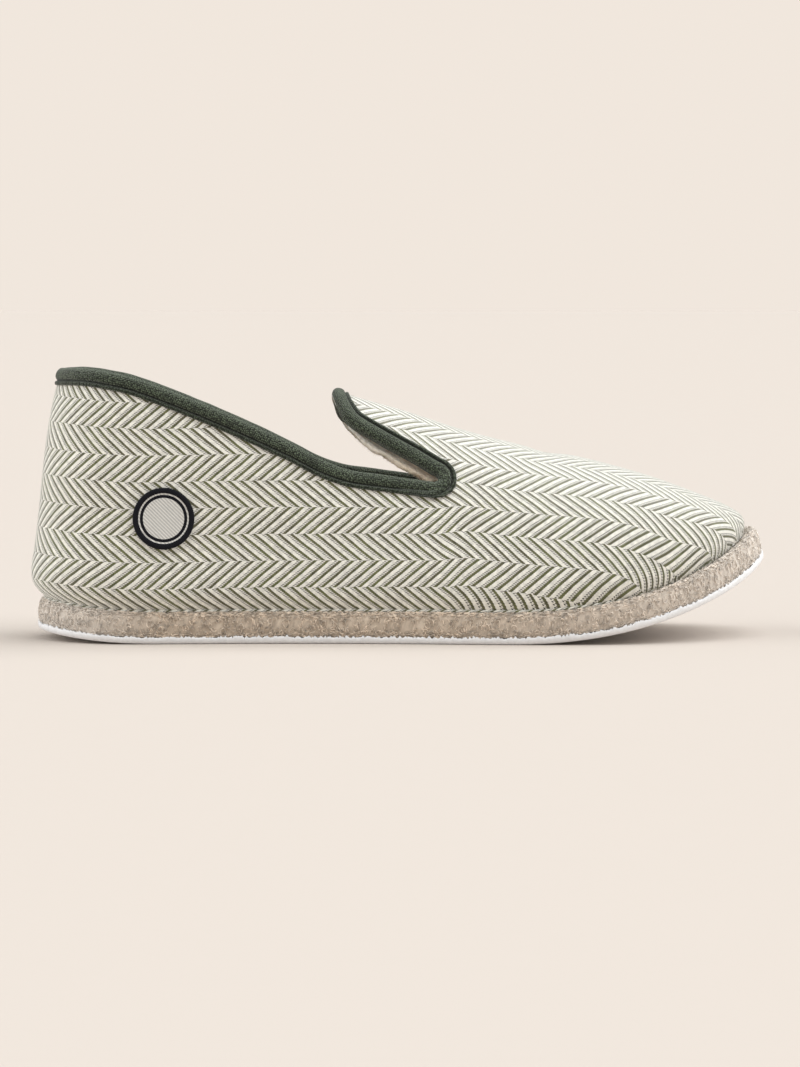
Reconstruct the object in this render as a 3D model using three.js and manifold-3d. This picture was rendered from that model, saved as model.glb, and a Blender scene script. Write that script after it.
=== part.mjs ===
// House slipper, right shoe: felt and rubber sole, one herringbone cloth upper with a peaked
// vamp, and a tape rolled round its collar. Millimetres, +X to the toe, +Y to the inner side.
import * as THREE from 'three';
import * as BufferGeometryUtils from 'three/addons/utils/BufferGeometryUtils.js';
import Module from 'manifold-3d';

const wasm = await Module();
wasm.setup();

// Sole
const soleLength = 286;          // along the ground side, heel end to toe end
const ballWidth = 100;
const rubberThickness = 2.2;
const feltThickness = 9.4;
const feltToeRise = 0.8;         // extra felt thickness under the toe
const feltBulge = 0.9;           // how far the felt's edge swells past the rubber
const heelCapLength = 35;
const toeCapLength = 72;
const toeSwing = 4;              // the toe's turn to the inner side

// Ground line: heel rocker, flat tread, toe spring, toe curl
const rockerRadius = 320;
const rockerLength = 48;
const treadLength = 129;
const springRadius = 206;
const springAngle = 0.4;
const curlRadius = 120;
const lean = 0.5;                // how much of the ground line's angle the sole's edge takes

// Upper
const wall = 2.6;
const seamInset = 1.6;           // seam of upper and felt, inside the sole's edge
const toeLedge = 4.6;
const heelBulge = 5.9;
const bulgeHeight = 9.8;
const heelAxis = 36;             // back ribs meet over this point
const toeAxis = 228;             // front ribs meet over this point
const heelHeight = 102.6;        // cloth edge at the back
const peakHeight = 94.3;         // cloth edge at the vamp's peak
const peakReach = 113.4;
const cornerReach = 149.8;       // centre of the round throat corner
const cornerHeight = 62.4;
const cornerRadius = 2.7;

// Tape, insole and patch
const tapeThickness = 0.9;
const flangeThickness = 0.45;
const rollDepth = 3.7;           // tape on the cloth, from its edge
const flangeDepth = 5.5;
const insoleThickness = 3;
const insoleMargin = 1.1;        // insole's edge to the upper's inner face
const patchRadius = 11.6;
const patchThickness = 1;
const patchReach = 47.2;
const patchHeight = 47.4;

const clearance = 0.3;
const climbEase = 2.1;            // packs a rib's rows toward the seam
const weld = 1e-4;               // points nearer than this are one
const beyond = 60;               // cutting forms run this far past what they cut
const ribsPerSide = 34;
const ribRows = 16;

// Half widths of the sole as shares of the ball width, before the ends are rounded
const outline = [
  { at: 0.00, outer: 0.335, inner: 0.335 },
  { at: 0.13, outer: 0.345, inner: 0.345 },
  { at: 0.30, outer: 0.350, inner: 0.340 },
  { at: 0.45, outer: 0.390, inner: 0.355 },
  { at: 0.60, outer: 0.460, inner: 0.420 },
  { at: 0.70, outer: 0.495, inner: 0.480 },
  { at: 0.78, outer: 0.500, inner: 0.500 },
  { at: 0.88, outer: 0.475, inner: 0.495 },
  { at: 1.00, outer: 0.430, inner: 0.460 },
];

// Ridge of the last: place as a share of the sole's length, height as a share of the peak's
const ridge = [
  { at: 0.000, height: 1.390 },
  { at: 0.130, height: 1.385 },
  { at: 0.240, height: 1.300 },
  { at: 0.310, height: 1.180 },
  { at: 0.360, height: 1.060 },
  { at: 0.403, height: 1.000 },
  { at: 0.490, height: 0.922 },
  { at: 0.572, height: 0.841 },
  { at: 0.655, height: 0.776 },
  { at: 0.736, height: 0.725 },
  { at: 0.818, height: 0.657 },
  { at: 0.900, height: 0.574 },
  { at: 1.000, height: 0.485 },
];

// Sections along the last: squareness upward and sideways, and the swell above the seam
const sections = [
  { at: 0.00, upward: 3.4, sideways: 2.0, swell: 1.00 },
  { at: 0.13, upward: 3.2, sideways: 2.0, swell: 0.85 },
  { at: 0.27, upward: 3.0, sideways: 2.0, swell: 0.65 },
  { at: 0.42, upward: 2.4, sideways: 2.0, swell: 0.55 },
  { at: 0.60, upward: 2.2, sideways: 2.0, swell: 0.50 },
  { at: 0.82, upward: 2.4, sideways: 2.4, swell: 0.40 },
  { at: 0.95, upward: 3.4, sideways: 3.2, swell: 0.25 },
  { at: 1.00, upward: 4.4, sideways: 3.8, swell: 0.15 },
];

// Quarter edge: place as a share of the corner's reach, drop as a share of its whole drop
const collar = [
  { at: 0.03, drop: 0.010 },
  { at: 0.11, drop: 0.000 },
  { at: 0.17, drop: 0.026 },
  { at: 0.25, drop: 0.090 },
  { at: 0.38, drop: 0.260 },
  { at: 0.51, drop: 0.453 },
  { at: 0.64, drop: 0.665 },
  { at: 0.72, drop: 0.810 },
  { at: 0.79, drop: 0.895 },
  { at: 0.88, drop: 0.940 },
  { at: 1.00, drop: 1.000 },
];

// Vamp edge: way back and way up from the corner to the peak
const throat = [
  { back: 0.000, up: 0.000 },
  { back: 0.200, up: 0.154 },
  { back: 0.485, up: 0.355 },
  { back: 0.760, up: 0.560 },
  { back: 0.865, up: 0.660 },
  { back: 0.930, up: 0.780 },
  { back: 0.980, up: 0.900 },
  { back: 1.000, up: 1.000 },
];

// Edge of the felt from its underside to its top: height share and swell share
const feltEdge = [
  { up: 0.00, out: -0.4 },
  { up: 0.10, out: 0.5 },
  { up: 0.40, out: 1.0 },
  { up: 0.75, out: 0.9 },
  { up: 0.94, out: 0.1 },
  { up: 1.00, out: -0.9 },
];
const rubberEdge = [
  { up: 0.00, out: -0.6 },
  { up: 0.35, out: 0.3 },
  { up: 1.00, out: 0.3 },
];
const insoleEdge = [
  { up: 0.00, out: 0.0 },
  { up: 0.60, out: 0.0 },
  { up: 1.00, out: -0.8 },
];

function clamp(value, low, high) {
  return Math.min(high, Math.max(low, value));
}

function smooth(value) {
  const t = clamp(value, 0, 1);
  return t * t * (3 - 2 * t);
}

// Smooth curve through a table's rows, level past its ends
function read(table, key, column, at) {
  const last = table.length - 1;
  const x = clamp(at, table[0][key], table[last][key]);
  let i = 0;
  while (i < last - 1 && x > table[i + 1][key]) i += 1;
  const slope = (k) => {
    const a = table[Math.max(k - 1, 0)];
    const b = table[Math.min(k + 1, last)];
    return (b[column] - a[column]) / (b[key] - a[key]);
  };
  const run = table[i + 1][key] - table[i][key];
  const t = (x - table[i][key]) / run;
  const t2 = t * t;
  const t3 = t2 * t;
  return (2 * t3 - 3 * t2 + 1) * table[i][column]
    + (t3 - 2 * t2 + t) * run * slope(i)
    + (3 * t2 - 2 * t3) * table[i + 1][column]
    + (t3 - t2) * run * slope(i + 1);
}

// Ground line at a length along the sole: place, height and angle
function ground(s) {
  const springStart = rockerLength + treadLength;
  const springLength = springRadius * springAngle;
  if (s < rockerLength) {
    const angle = (s - rockerLength) / rockerRadius;
    return {
      x: rockerLength + rockerRadius * Math.sin(angle),
      z: rockerRadius * (1 - Math.cos(angle)),
      angle,
    };
  }
  if (s < springStart) return { x: s, z: 0, angle: 0 };
  const angle = Math.min((s - springStart) / springRadius, springAngle);
  const spring = {
    x: springStart + springRadius * Math.sin(angle),
    z: springRadius * (1 - Math.cos(angle)),
    angle,
  };
  if (s < springStart + springLength) return spring;
  const curl = springAngle + (s - springStart - springLength) / curlRadius;
  return {
    x: spring.x + curlRadius * (Math.sin(curl) - Math.sin(springAngle)),
    z: spring.z + curlRadius * (Math.cos(springAngle) - Math.cos(curl)),
    angle: curl,
  };
}

// A point of the sole block, given flat: length, side and height
function onSole(s, side, height) {
  const line = ground(s);
  const edge = line.angle * lean;
  return new THREE.Vector3(
    line.x - height * Math.sin(edge),
    side,
    line.z + height * Math.cos(edge),
  );
}

function toeTurn(share) {
  const t = clamp((share - 0.6) / 0.4, 0, 1);
  return toeSwing * t * t;
}

function soleHeight(share) {
  return rubberThickness + clearance + feltThickness + feltToeRise * smooth((share - 0.8) / 0.2);
}

// Flat outline of the sole: way runs from 0 at the heel to 1 at the toe, side is -1 or 1
function flatEdge(way, side) {
  const share = (1 - Math.cos(Math.PI * way)) / 2;
  const s = share * soleLength;
  const heelCap = Math.sqrt(1 - (1 - clamp(s / heelCapLength, 0, 1)) ** 2);
  const toeCap = Math.sqrt(1 - (1 - clamp((soleLength - s) / toeCapLength, 0, 1)) ** 2);
  const half = read(outline, 'at', side < 0 ? 'outer' : 'inner', share) * ballWidth;
  return { s, y: side * half * heelCap * toeCap + toeTurn(share), share };
}

// The same outline moved out square to itself
function movedEdge(way, side, out) {
  const step = 1e-4;
  const here = flatEdge(way, side);
  const before = flatEdge(Math.max(way - step, 0), side);
  const after = flatEdge(Math.min(way + step, 1), side);
  let ds = after.s - before.s;
  let dy = after.y - before.y;
  if (way < step) { ds = 0; dy = side; }
  if (way > 1 - step) { ds = 0; dy = -side; }
  const length = Math.hypot(ds, dy);
  return {
    s: here.s - (side * dy * out) / length,
    y: here.y + (side * ds * out) / length,
    share: here.share,
  };
}

// Ribs all round: the outer side from heel to toe, then the inner side back
function aroundRibs(rib) {
  const ribs = [];
  for (let i = 0; i < ribsPerSide; i += 1) ribs.push(rib(i / ribsPerSide, -1));
  for (let i = ribsPerSide; i > 0; i -= 1) ribs.push(rib(i / ribsPerSide, 1));
  return ribs;
}

// Closed skin over a ring of ribs, each with as many points from underside to top
function skin(ribs) {
  const positions = [];
  const put = (a, b, c) => {
    if (a.distanceTo(b) < weld || b.distanceTo(c) < weld || c.distanceTo(a) < weld) return;
    positions.push(...a.toArray(), ...b.toArray(), ...c.toArray());
  };
  ribs.forEach((rib, i) => {
    const next = ribs[(i + 1) % ribs.length];
    for (let j = 0; j < rib.length - 1; j += 1) {
      put(rib[j], next[j], next[j + 1]);
      put(rib[j], next[j + 1], rib[j + 1]);
    }
  });
  const geometry = new THREE.BufferGeometry();
  geometry.setAttribute('position', new THREE.Float32BufferAttribute(positions, 3));
  return BufferGeometryUtils.mergeVertices(geometry, weld);
}

// A layer of the sole: flat outline, edge table, underside and top
function layer(edge, swell, inset, underside, top) {
  const rib = (way, side) => {
    const centre = movedEdge(way, side, 0);
    const s = clamp(centre.s, heelCapLength / 2, soleLength - toeCapLength / 4);
    const middle = toeTurn(s / soleLength);
    const low = underside(centre.share);
    const high = top(centre.share);
    const rows = edge.map((row) => {
      const point = movedEdge(way, side, row.out * swell - inset(centre.share));
      return onSole(point.s, point.y, low + (high - low) * row.up);
    });
    return [
      onSole(s, middle, underside(s / soleLength)),
      ...rows,
      onSole(s, middle, top(s / soleLength)),
    ];
  };
  return skin(aroundRibs(rib));
}

function seamEdge(share) {
  return seamInset + (toeLedge - seamInset) * smooth((share - 0.7) / 0.3);
}

function ridgeHeight(x) {
  return read(ridge, 'at', 'height', x / soleLength) * peakHeight;
}

// Where a rib of the last stands: the middle of the seam's floor, under the rib's crest
function lastAxis(share) {
  const s = clamp(share * soleLength, heelAxis, toeAxis);
  return onSole(s, toeTurn(s / soleLength), soleHeight(s / soleLength) + clearance);
}

// A rib of the last: from the seam up to the ridge, at a climb of 0 to 1
function lastRib(way, side) {
  const seam = movedEdge(way, side, -seamEdge(flatEdge(way, side).share));
  const foot = onSole(seam.s, seam.y, soleHeight(seam.share) + clearance);
  const axis = lastAxis(seam.share);
  const crestX = axis.x;
  const crestY = axis.y;
  const crest = new THREE.Vector3(crestX, crestY, ridgeHeight(crestX));
  const reach = Math.hypot(foot.x - crestX, foot.y - crestY);
  const dirX = (foot.x - crestX) / reach;
  const dirY = (foot.y - crestY) / reach;
  const upward = read(sections, 'at', 'upward', seam.share);
  const sideways = read(sections, 'at', 'sideways', seam.share);
  const swell = read(sections, 'at', 'swell', seam.share) * heelBulge;
  return (climb) => {
    if (climb >= 1) return crest.clone();
    const turn = (Math.PI / 2) * climb ** climbEase;
    const out = reach * Math.cos(turn) ** (2 / sideways);
    const rise = Math.sin(turn) ** (2 / upward);
    const up = rise * (ridgeHeight(crestX + dirX * out) - foot.z);
    const q = up / bulgeHeight;
    const puff = (swell * 2 * q) / (1 + q * q) * (1 - climb ** 6);
    return new THREE.Vector3(
      crestX + dirX * (out + puff),
      crestY + dirY * (out + puff),
      foot.z + up,
    );
  };
}

// The last moved out square to its surface, closed underneath, or run down past the seam
function lastForm(out, runDown) {
  const step = 2e-3;
  const rib = (way, side) => {
    const here = lastRib(way, side);
    const before = lastRib(Math.max(way - step, 0), side);
    const after = lastRib(Math.min(way + step, 1), side);
    const rows = [];
    for (let j = 0; j <= ribRows; j += 1) {
      const climb = j / ribRows;
      const along = after(climb).sub(before(climb));
      const up = here(Math.min(climb + step, 1)).sub(here(Math.max(climb - step, 0)));
      const normal = new THREE.Vector3().crossVectors(along, up).multiplyScalar(-side);
      if (way === 0) normal.set(-up.z, 0, up.x);
      if (way === 1) normal.set(up.z, 0, -up.x);
      if (j === ribRows) {
        const x = here(1).x;
        normal.set(ridgeHeight(x - 1) - ridgeHeight(x + 1), 0, 2);
      }
      rows.push(here(climb).addScaledVector(normal.normalize(), out));
    }
    const foot = rows[0].clone();
    foot.z -= runDown;
    const under = lastAxis(flatEdge(way, side).share);
    under.z -= runDown;
    return runDown > 0 ? [under, foot, ...rows] : [under, ...rows];
  };
  return skin(aroundRibs(rib));
}

// Edge of the cloth seen from the side, from behind the heel to the peak, moved into the cloth
function openingEdge(grow) {
  const drop = heelHeight - (cornerHeight - cornerRadius);
  const quarter = collar.map((row) => new THREE.Vector2(
    row.at * cornerReach, heelHeight - row.drop * drop));
  const corner = [-50, -10, 30, 65].map((degrees) => {
    const angle = THREE.MathUtils.degToRad(degrees);
    return new THREE.Vector2(
      cornerReach + cornerRadius * Math.cos(angle),
      cornerHeight + cornerRadius * Math.sin(angle));
  });
  const rise = peakHeight - (cornerHeight + cornerRadius);
  const vamp = throat.map((row) => new THREE.Vector2(
    cornerReach - row.back * (cornerReach - peakReach),
    cornerHeight + cornerRadius + row.up * rise));
  const back = new THREE.SplineCurve(quarter).getSpacedPoints(24);
  const front = new THREE.SplineCurve(vamp).getSpacedPoints(14);
  const points = [new THREE.Vector2(-beyond, back[0].y), ...back, ...corner, ...front];
  const moved = points.map((point, i) => {
    const a = points[Math.max(i - 1, 0)];
    const b = points[Math.min(i + 1, points.length - 1)];
    const way = b.clone().sub(a).normalize();
    return new THREE.Vector2(point.x + way.y * grow, point.y - way.x * grow);
  });
  const peak = moved[moved.length - 1];
  const high = heelHeight + beyond;
  return [...moved, new THREE.Vector2(peak.x, high), new THREE.Vector2(-beyond, high)];
}

// A side view outline run right through the slipper
function through(points) {
  const geometry = new THREE.ExtrudeGeometry(new THREE.Shape(points), {
    depth: 2 * beyond, bevelEnabled: false,
  });
  geometry.translate(0, 0, -beyond);
  geometry.rotateX(Math.PI / 2);
  return geometry;
}

function solid(geometry) {
  const bare = geometry.clone();
  bare.deleteAttribute('normal');
  bare.deleteAttribute('uv');
  const merged = BufferGeometryUtils.mergeVertices(bare, weld);
  return new wasm.Manifold(new wasm.Mesh({
    numProp: 3,
    vertProperties: new Float32Array(merged.attributes.position.array),
    triVerts: new Uint32Array(merged.index.array),
  }));
}

function geometryOf(manifold) {
  const mesh = manifold.getMesh();
  const geometry = new THREE.BufferGeometry();
  geometry.setAttribute('position', new THREE.Float32BufferAttribute(mesh.vertProperties, 3));
  geometry.setIndex(new THREE.Uint32BufferAttribute(mesh.triVerts, 1));
  return geometry;
}

// The space between two offsets of the last
function between(inside, outside) {
  return solid(lastForm(outside, 0)).subtract(solid(lastForm(inside, beyond / 10)));
}

function upperSolid() {
  return between(-wall, 0).subtract(solid(through(openingEdge(0))));
}

// Tape rolled over the cloth's edge: a thick roll on both faces and a thin flange outside
function bindingSolid() {
  const band = (thickness, inside, depth) => between(inside, clearance + thickness)
    .intersect(solid(through(openingEdge(depth))));
  const rollInside = -wall - clearance - tapeThickness;
  const cloth = between(-wall - clearance, clearance)
    .subtract(solid(through(openingEdge(-clearance))));
  return band(tapeThickness, rollInside, rollDepth)
    .add(band(flangeThickness, 0, flangeDepth))
    .subtract(cloth)
    .subtract(solid(through(openingEdge(-clearance - tapeThickness))));
}

// Round patch bent to the outer side of the quarter
function patchSolid() {
  const post = new THREE.CylinderGeometry(patchRadius, patchRadius, beyond, 40);
  post.translate(patchReach, -beyond / 2, patchHeight);
  return between(clearance, clearance + patchThickness).intersect(solid(post));
}

function piece(name, geometry, colour, roughness) {
  const material = new THREE.MeshStandardMaterial({ color: colour, roughness, metalness: 0 });
  const mesh = new THREE.Mesh(geometry, material);
  mesh.name = name;
  return mesh;
}

const none = () => 0;
const insoleBottom = (share) => soleHeight(share) + clearance;
const insoleTop = (share) => soleHeight(share) + clearance + insoleThickness;
const insoleInset = (share) => seamEdge(share) + wall + insoleMargin;

const slipper = new THREE.Group();
slipper.add(piece('outsole',
  layer(rubberEdge, feltBulge, none, none, () => rubberThickness), 0xe6e6e8, 0.6));
slipper.add(piece('felt_midsole',
  layer(feltEdge, feltBulge, none, () => rubberThickness + clearance, soleHeight), 0xb8a88e, 0.95));
slipper.add(piece('insole',
  layer(insoleEdge, 1, insoleInset, insoleBottom, insoleTop), 0xe4d8c4, 0.95));
slipper.add(piece('upper', geometryOf(upperSolid()), 0xd6d2c0, 0.9));
slipper.add(piece('collar_binding', geometryOf(bindingSolid()), 0x3e4a3a, 0.85));
slipper.add(piece('side_patch', geometryOf(patchSolid()), 0x26262e, 0.8));

// The origin is on the floor, under the middle of the slipper's box
const box = new THREE.Box3().setFromObject(slipper);
const middle = box.getCenter(new THREE.Vector3());
slipper.children.forEach((mesh) => mesh.position.set(-middle.x, -middle.y, -box.min.z));

export default slipper;
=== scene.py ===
"""House slipper, right shoe: the looks of its cloth, tape, felt and rubber.

Shapes are worked out in the last's own millimetres, with x from the heel end of the sole,
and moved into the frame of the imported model, in metres, when each mesh is made.
"""

import math

import bpy
import numpy as np
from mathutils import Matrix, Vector, noise


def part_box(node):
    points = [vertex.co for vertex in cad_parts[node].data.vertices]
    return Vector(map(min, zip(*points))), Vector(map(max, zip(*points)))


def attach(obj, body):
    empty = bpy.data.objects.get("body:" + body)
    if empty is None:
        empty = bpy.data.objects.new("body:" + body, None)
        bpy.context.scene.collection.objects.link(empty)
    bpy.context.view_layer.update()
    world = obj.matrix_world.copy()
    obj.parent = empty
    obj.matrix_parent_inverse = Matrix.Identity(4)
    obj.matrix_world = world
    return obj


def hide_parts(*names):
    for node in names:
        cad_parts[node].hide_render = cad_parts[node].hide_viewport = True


bl_info = {
    "name": "House Slipper",
    "version": (1, 0, 0),
    "blender": (4, 5, 0),
    "location": "View3D > Sidebar > Slipper",
    "description": "Builds the looks of a felt-soled house slipper around its packed model",
    "category": "Object",
}

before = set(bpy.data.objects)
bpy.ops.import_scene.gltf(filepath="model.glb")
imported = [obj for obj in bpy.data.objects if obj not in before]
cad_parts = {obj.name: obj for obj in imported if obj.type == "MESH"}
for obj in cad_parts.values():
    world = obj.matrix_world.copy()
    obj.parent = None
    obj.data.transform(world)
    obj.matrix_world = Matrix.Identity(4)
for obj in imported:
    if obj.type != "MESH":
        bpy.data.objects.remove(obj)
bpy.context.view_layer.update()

# Sole of the last, in millimetres
SOLE_LENGTH = 286.0
BALL_WIDTH = 100.0
RUBBER_THICKNESS = 2.2
FELT_THICKNESS = 9.4
FELT_TOE_RISE = 0.8
FELT_BULGE = 0.9
HEEL_CAP = 35.0
TOE_CAP = 72.0
TOE_SWING = 4.0
ROCKER_RADIUS = 320.0
ROCKER_LENGTH = 48.0
TREAD_LENGTH = 129.0
SPRING_RADIUS = 206.0
SPRING_ANGLE = 0.4
CURL_RADIUS = 120.0
LEAN = 0.5

# Upper of the last
WALL = 2.6
SEAM_INSET = 1.6
TOE_LEDGE = 4.6
HEEL_BULGE = 5.9
BULGE_HEIGHT = 9.8
HEEL_AXIS = 36.0
TOE_AXIS = 228.0
HEEL_HEIGHT = 102.6
PEAK_HEIGHT = 94.3
PEAK_REACH = 113.4
CORNER_REACH = 149.8
CORNER_HEIGHT = 62.4
CORNER_RADIUS = 2.7
CLEARANCE = 0.3
CLIMB_EASE = 2.1
INSOLE_MARGIN = 1.1

# Share of the length, half width outside and inside as shares of the ball width
OUTLINE = (
    (0.00, 0.335, 0.335),
    (0.13, 0.345, 0.345),
    (0.30, 0.350, 0.340),
    (0.45, 0.390, 0.355),
    (0.60, 0.460, 0.420),
    (0.70, 0.495, 0.480),
    (0.78, 0.500, 0.500),
    (0.88, 0.475, 0.495),
    (1.00, 0.430, 0.460),
)

# Share of the length, height of the ridge as a share of the peak's
RIDGE = (
    (0.000, 1.390),
    (0.130, 1.385),
    (0.240, 1.300),
    (0.310, 1.180),
    (0.360, 1.060),
    (0.403, 1.000),
    (0.490, 0.922),
    (0.572, 0.841),
    (0.655, 0.776),
    (0.736, 0.725),
    (0.818, 0.657),
    (0.900, 0.574),
    (1.000, 0.485),
)

# Share of the length, squareness upward and sideways, swell above the seam
SECTIONS = (
    (0.00, 3.4, 2.0, 1.00),
    (0.13, 3.2, 2.0, 0.85),
    (0.27, 3.0, 2.0, 0.65),
    (0.42, 2.4, 2.0, 0.55),
    (0.60, 2.2, 2.0, 0.50),
    (0.82, 2.4, 2.4, 0.40),
    (0.95, 3.4, 3.2, 0.25),
    (1.00, 4.4, 3.8, 0.15),
)

# Quarter edge: share of the corner's reach, share of the whole drop
COLLAR = (
    (0.03, 0.010),
    (0.11, 0.000),
    (0.17, 0.026),
    (0.25, 0.090),
    (0.38, 0.260),
    (0.51, 0.453),
    (0.64, 0.665),
    (0.72, 0.810),
    (0.79, 0.895),
    (0.88, 0.940),
    (1.00, 1.000),
)

# Vamp edge: way back and way up from the corner to the peak
THROAT = (
    (0.000, 0.000),
    (0.200, 0.154),
    (0.485, 0.355),
    (0.760, 0.560),
    (0.865, 0.660),
    (0.930, 0.780),
    (0.980, 0.900),
    (1.000, 1.000),
)

OUTER = -1
INNER = 1


# Properties


def number(name, text, value, **limits):
    """A plain number."""
    return bpy.props.FloatProperty(name=name, description=text, default=value, **limits)


def length(name, text, value):
    """A length in metres, shown in the unit that the user chose."""
    return number(name, text, value, min=0.0, unit="LENGTH", precision=5)


def share(name, text, value):
    """A share from 0 to 1."""
    return number(name, text, value, min=0.0, max=1.0, subtype="FACTOR")


def degrees(name, text, value):
    """An angle, given in degrees."""
    return number(name, text, math.radians(value), subtype="ANGLE")


def colour(name, text, value):
    """A colour, red, green and blue in linear light."""
    return bpy.props.FloatVectorProperty(
        name=name, description=text, default=value, size=3, min=0.0, max=1.0, subtype="COLOR")


class SlipperCloth(bpy.types.PropertyGroup):
    """Herringbone cloth of the upper and its lining."""

    row_height: length("Row height", "Height of one row of the herringbone", 0.0101)
    stripe_pitch: length("Stripe pitch", "Length along a row from one stripe to the next", 0.0047)
    stripe_lean: number("Stripe lean", "Run of a stripe for each unit of height", 1.19)
    row_shift: share("Row shift", "Shift of every second row, in stripes", 0.4)
    pick_pitch: length("Pick pitch", "Height of one yarn across the stripes", 0.00053)
    cloth_thickness: length("Cloth thickness", "Thickness of the outer cloth", 0.0012)
    pale: colour("Pale yarn", "Colour of the wide pale stripe", (0.835, 0.815, 0.745))
    dark: colour("Brown yarn", "Colour of the dark stripe's brown parts", (0.088, 0.078, 0.042))
    olive: colour("Olive yarn", "Colour of the dark stripe's green parts", (0.105, 0.112, 0.040))
    dots: colour("Dotted yarn", "Colour of the dotted line", (0.013, 0.012, 0.010))
    lining: colour("Lining", "Colour of the brushed lining", (0.80, 0.70, 0.58))
    fluff: colour("Fluff", "Colour of the brushed edge behind the vamp's tape", (0.99, 0.91, 0.80))
    # Painted shade: the darker, warmer tint where the edge sinks low by the throat's corners
    fluff_corner_shade: colour("Fluff corner", "Colour of that edge by the corners", (0.93, 0.73, 0.56))


class SlipperTape(bpy.types.PropertyGroup):
    """Tape rolled round the collar and the vamp's edge."""

    knit_pitch: length("Knit pitch", "Spacing of the tape's fine knots", 0.00072)
    green: colour("Tape green", "Colour of the tape", (0.012, 0.016, 0.009))
    bright: colour("Tape highlight", "Colour of the tape's raised knots", (0.165, 0.208, 0.132))


class SlipperSole(bpy.types.PropertyGroup):
    """Looped wool felt and thin rubber under it."""

    loft: length("Loft", "Height of the felt's loops", 0.00035)
    curl_size: length("Curl size", "Width of a curl of the felt", 0.0017)
    teeth: length("Ragged edge", "Height of the rubber's ragged upper edge", 0.0013)
    wool: colour("Wool", "Colour of the felt", (0.88, 0.745, 0.605))
    # The paler, greyer tint of painted light at the heel's end and the toe
    wool_grey: colour("Grey wool", "Colour of the felt toward heel and toe", (0.93, 0.85, 0.765))
    # Painted shade: the dark tint deep in the creases between the felt's curls
    wool_crease_shade: colour("Wool creases", "Colour deep between the felt's curls", (0.30, 0.24, 0.18))
    rubber: colour("Rubber", "Colour of the rubber", (0.90, 0.90, 0.91))


class SlipperPatch(bpy.types.PropertyGroup):
    """Bare round woven patch on the outer side of the heel."""

    radius: length("Radius", "Radius of the patch over its rim", 0.0116)
    rim_width: length("Rim width", "Width of the overlocked rim", 0.0021)
    rim: colour("Rim", "Colour of the rim", (0.0028, 0.0028, 0.0045))
    field: colour("Field", "Colour of the field inside the rim", (0.82, 0.80, 0.76))


class SlipperStage(bpy.types.PropertyGroup):
    """Floor, lights and camera."""

    floor: colour("Floor", "Colour of the floor", (0.594, 0.533, 0.482))
    backdrop: colour("Backdrop", "Colour behind the floor's far edge", (0.877, 0.799, 0.723))
    ambient: number("Ambient", "Strength of the even light from all round", 0.37)
    key_strength: number("Key", "Strength of the soft light from above", 2.9)
    side_strength: number("Sides", "Strength of the soft lights behind heel and toe", 0.8)
    camera_distance: length("Camera distance", "From the camera to the slipper's middle", 1.5027)
    camera_azimuth: degrees("Camera azimuth", "Turn of the camera round the slipper", -4.0)
    camera_elevation: degrees("Camera elevation", "Height of the camera as an angle", 3.46)
    focal_length: number("Focal length", "Focal length of the camera, in millimetres", 131.1)


# The last


def smooth(value):
    """Soft step from 0 to 1 as a value goes from 0 to 1."""
    t = np.clip(value, 0.0, 1.0)
    return t * t * (3.0 - 2.0 * t)


def running(steps):
    """Running total of steps, from 0."""
    return np.concatenate(([0.0], np.cumsum(steps)))


def run_along(points):
    """Length along a line at each of its points."""
    return running(np.linalg.norm(np.diff(points, axis=0), axis=1))


def picked(at, run, values):
    """Each column of a line's values, read at lengths along it."""
    return np.stack([np.interp(at, run, column) for column in values.T], axis=1)


def unit(vectors):
    """Vectors made one long."""
    size = np.linalg.norm(vectors, axis=-1, keepdims=True)
    return vectors / np.maximum(size, 1e-9)


def read(table, column, at):
    """Smooth curve through a table's rows, level past its ends."""
    rows = np.array(table, float)
    keys = rows[:, 0]
    values = rows[:, column]
    last = len(keys) - 1
    x = np.clip(at, keys[0], keys[-1])
    i = np.clip(np.searchsorted(keys, x, side="left") - 1, 0, last - 1)
    before = np.maximum(np.arange(last + 1) - 1, 0)
    after = np.minimum(np.arange(last + 1) + 1, last)
    slopes = (values[after] - values[before]) / (keys[after] - keys[before])
    run = keys[i + 1] - keys[i]
    t = (x - keys[i]) / run
    t2 = t * t
    t3 = t2 * t
    return (
        (2 * t3 - 3 * t2 + 1) * values[i]
        + (t3 - 2 * t2 + t) * run * slopes[i]
        + (3 * t2 - 2 * t3) * values[i + 1]
        + (t3 - t2) * run * slopes[i + 1]
    )


def ground(s):
    """Ground line at a length along the sole: place, height and angle."""
    start = ROCKER_LENGTH + TREAD_LENGTH
    heel = (s - ROCKER_LENGTH) / ROCKER_RADIUS
    spring = np.clip((s - start) / SPRING_RADIUS, 0.0, SPRING_ANGLE)
    curl = np.maximum(s - start - SPRING_RADIUS * SPRING_ANGLE, 0.0) / CURL_RADIUS
    top = SPRING_ANGLE + curl
    x = (
        start
        + SPRING_RADIUS * np.sin(spring)
        + CURL_RADIUS * (np.sin(top) - math.sin(SPRING_ANGLE))
    )
    z = SPRING_RADIUS * (1 - np.cos(spring)) + CURL_RADIUS * (
        math.cos(SPRING_ANGLE) - np.cos(top)
    )
    angle = spring + curl
    flat = s < start
    x = np.where(flat, s, x)
    z = np.where(flat, 0.0, z)
    back = s < ROCKER_LENGTH
    x = np.where(back, ROCKER_LENGTH + ROCKER_RADIUS * np.sin(heel), x)
    z = np.where(back, ROCKER_RADIUS * (1 - np.cos(heel)), z)
    return x, z, np.where(back, heel, angle)


def on_sole(s, side, height):
    """A point of the sole block, given flat: length, side and height."""
    x, z, angle = ground(s)
    edge = angle * LEAN
    return np.stack(np.broadcast_arrays(
        x - height * np.sin(edge), side, z + height * np.cos(edge)), axis=-1)


def toe_turn(at):
    """How far the sole's middle line swings to the inner side."""
    t = np.clip((at - 0.6) / 0.4, 0.0, 1.0)
    return TOE_SWING * t * t


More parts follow.
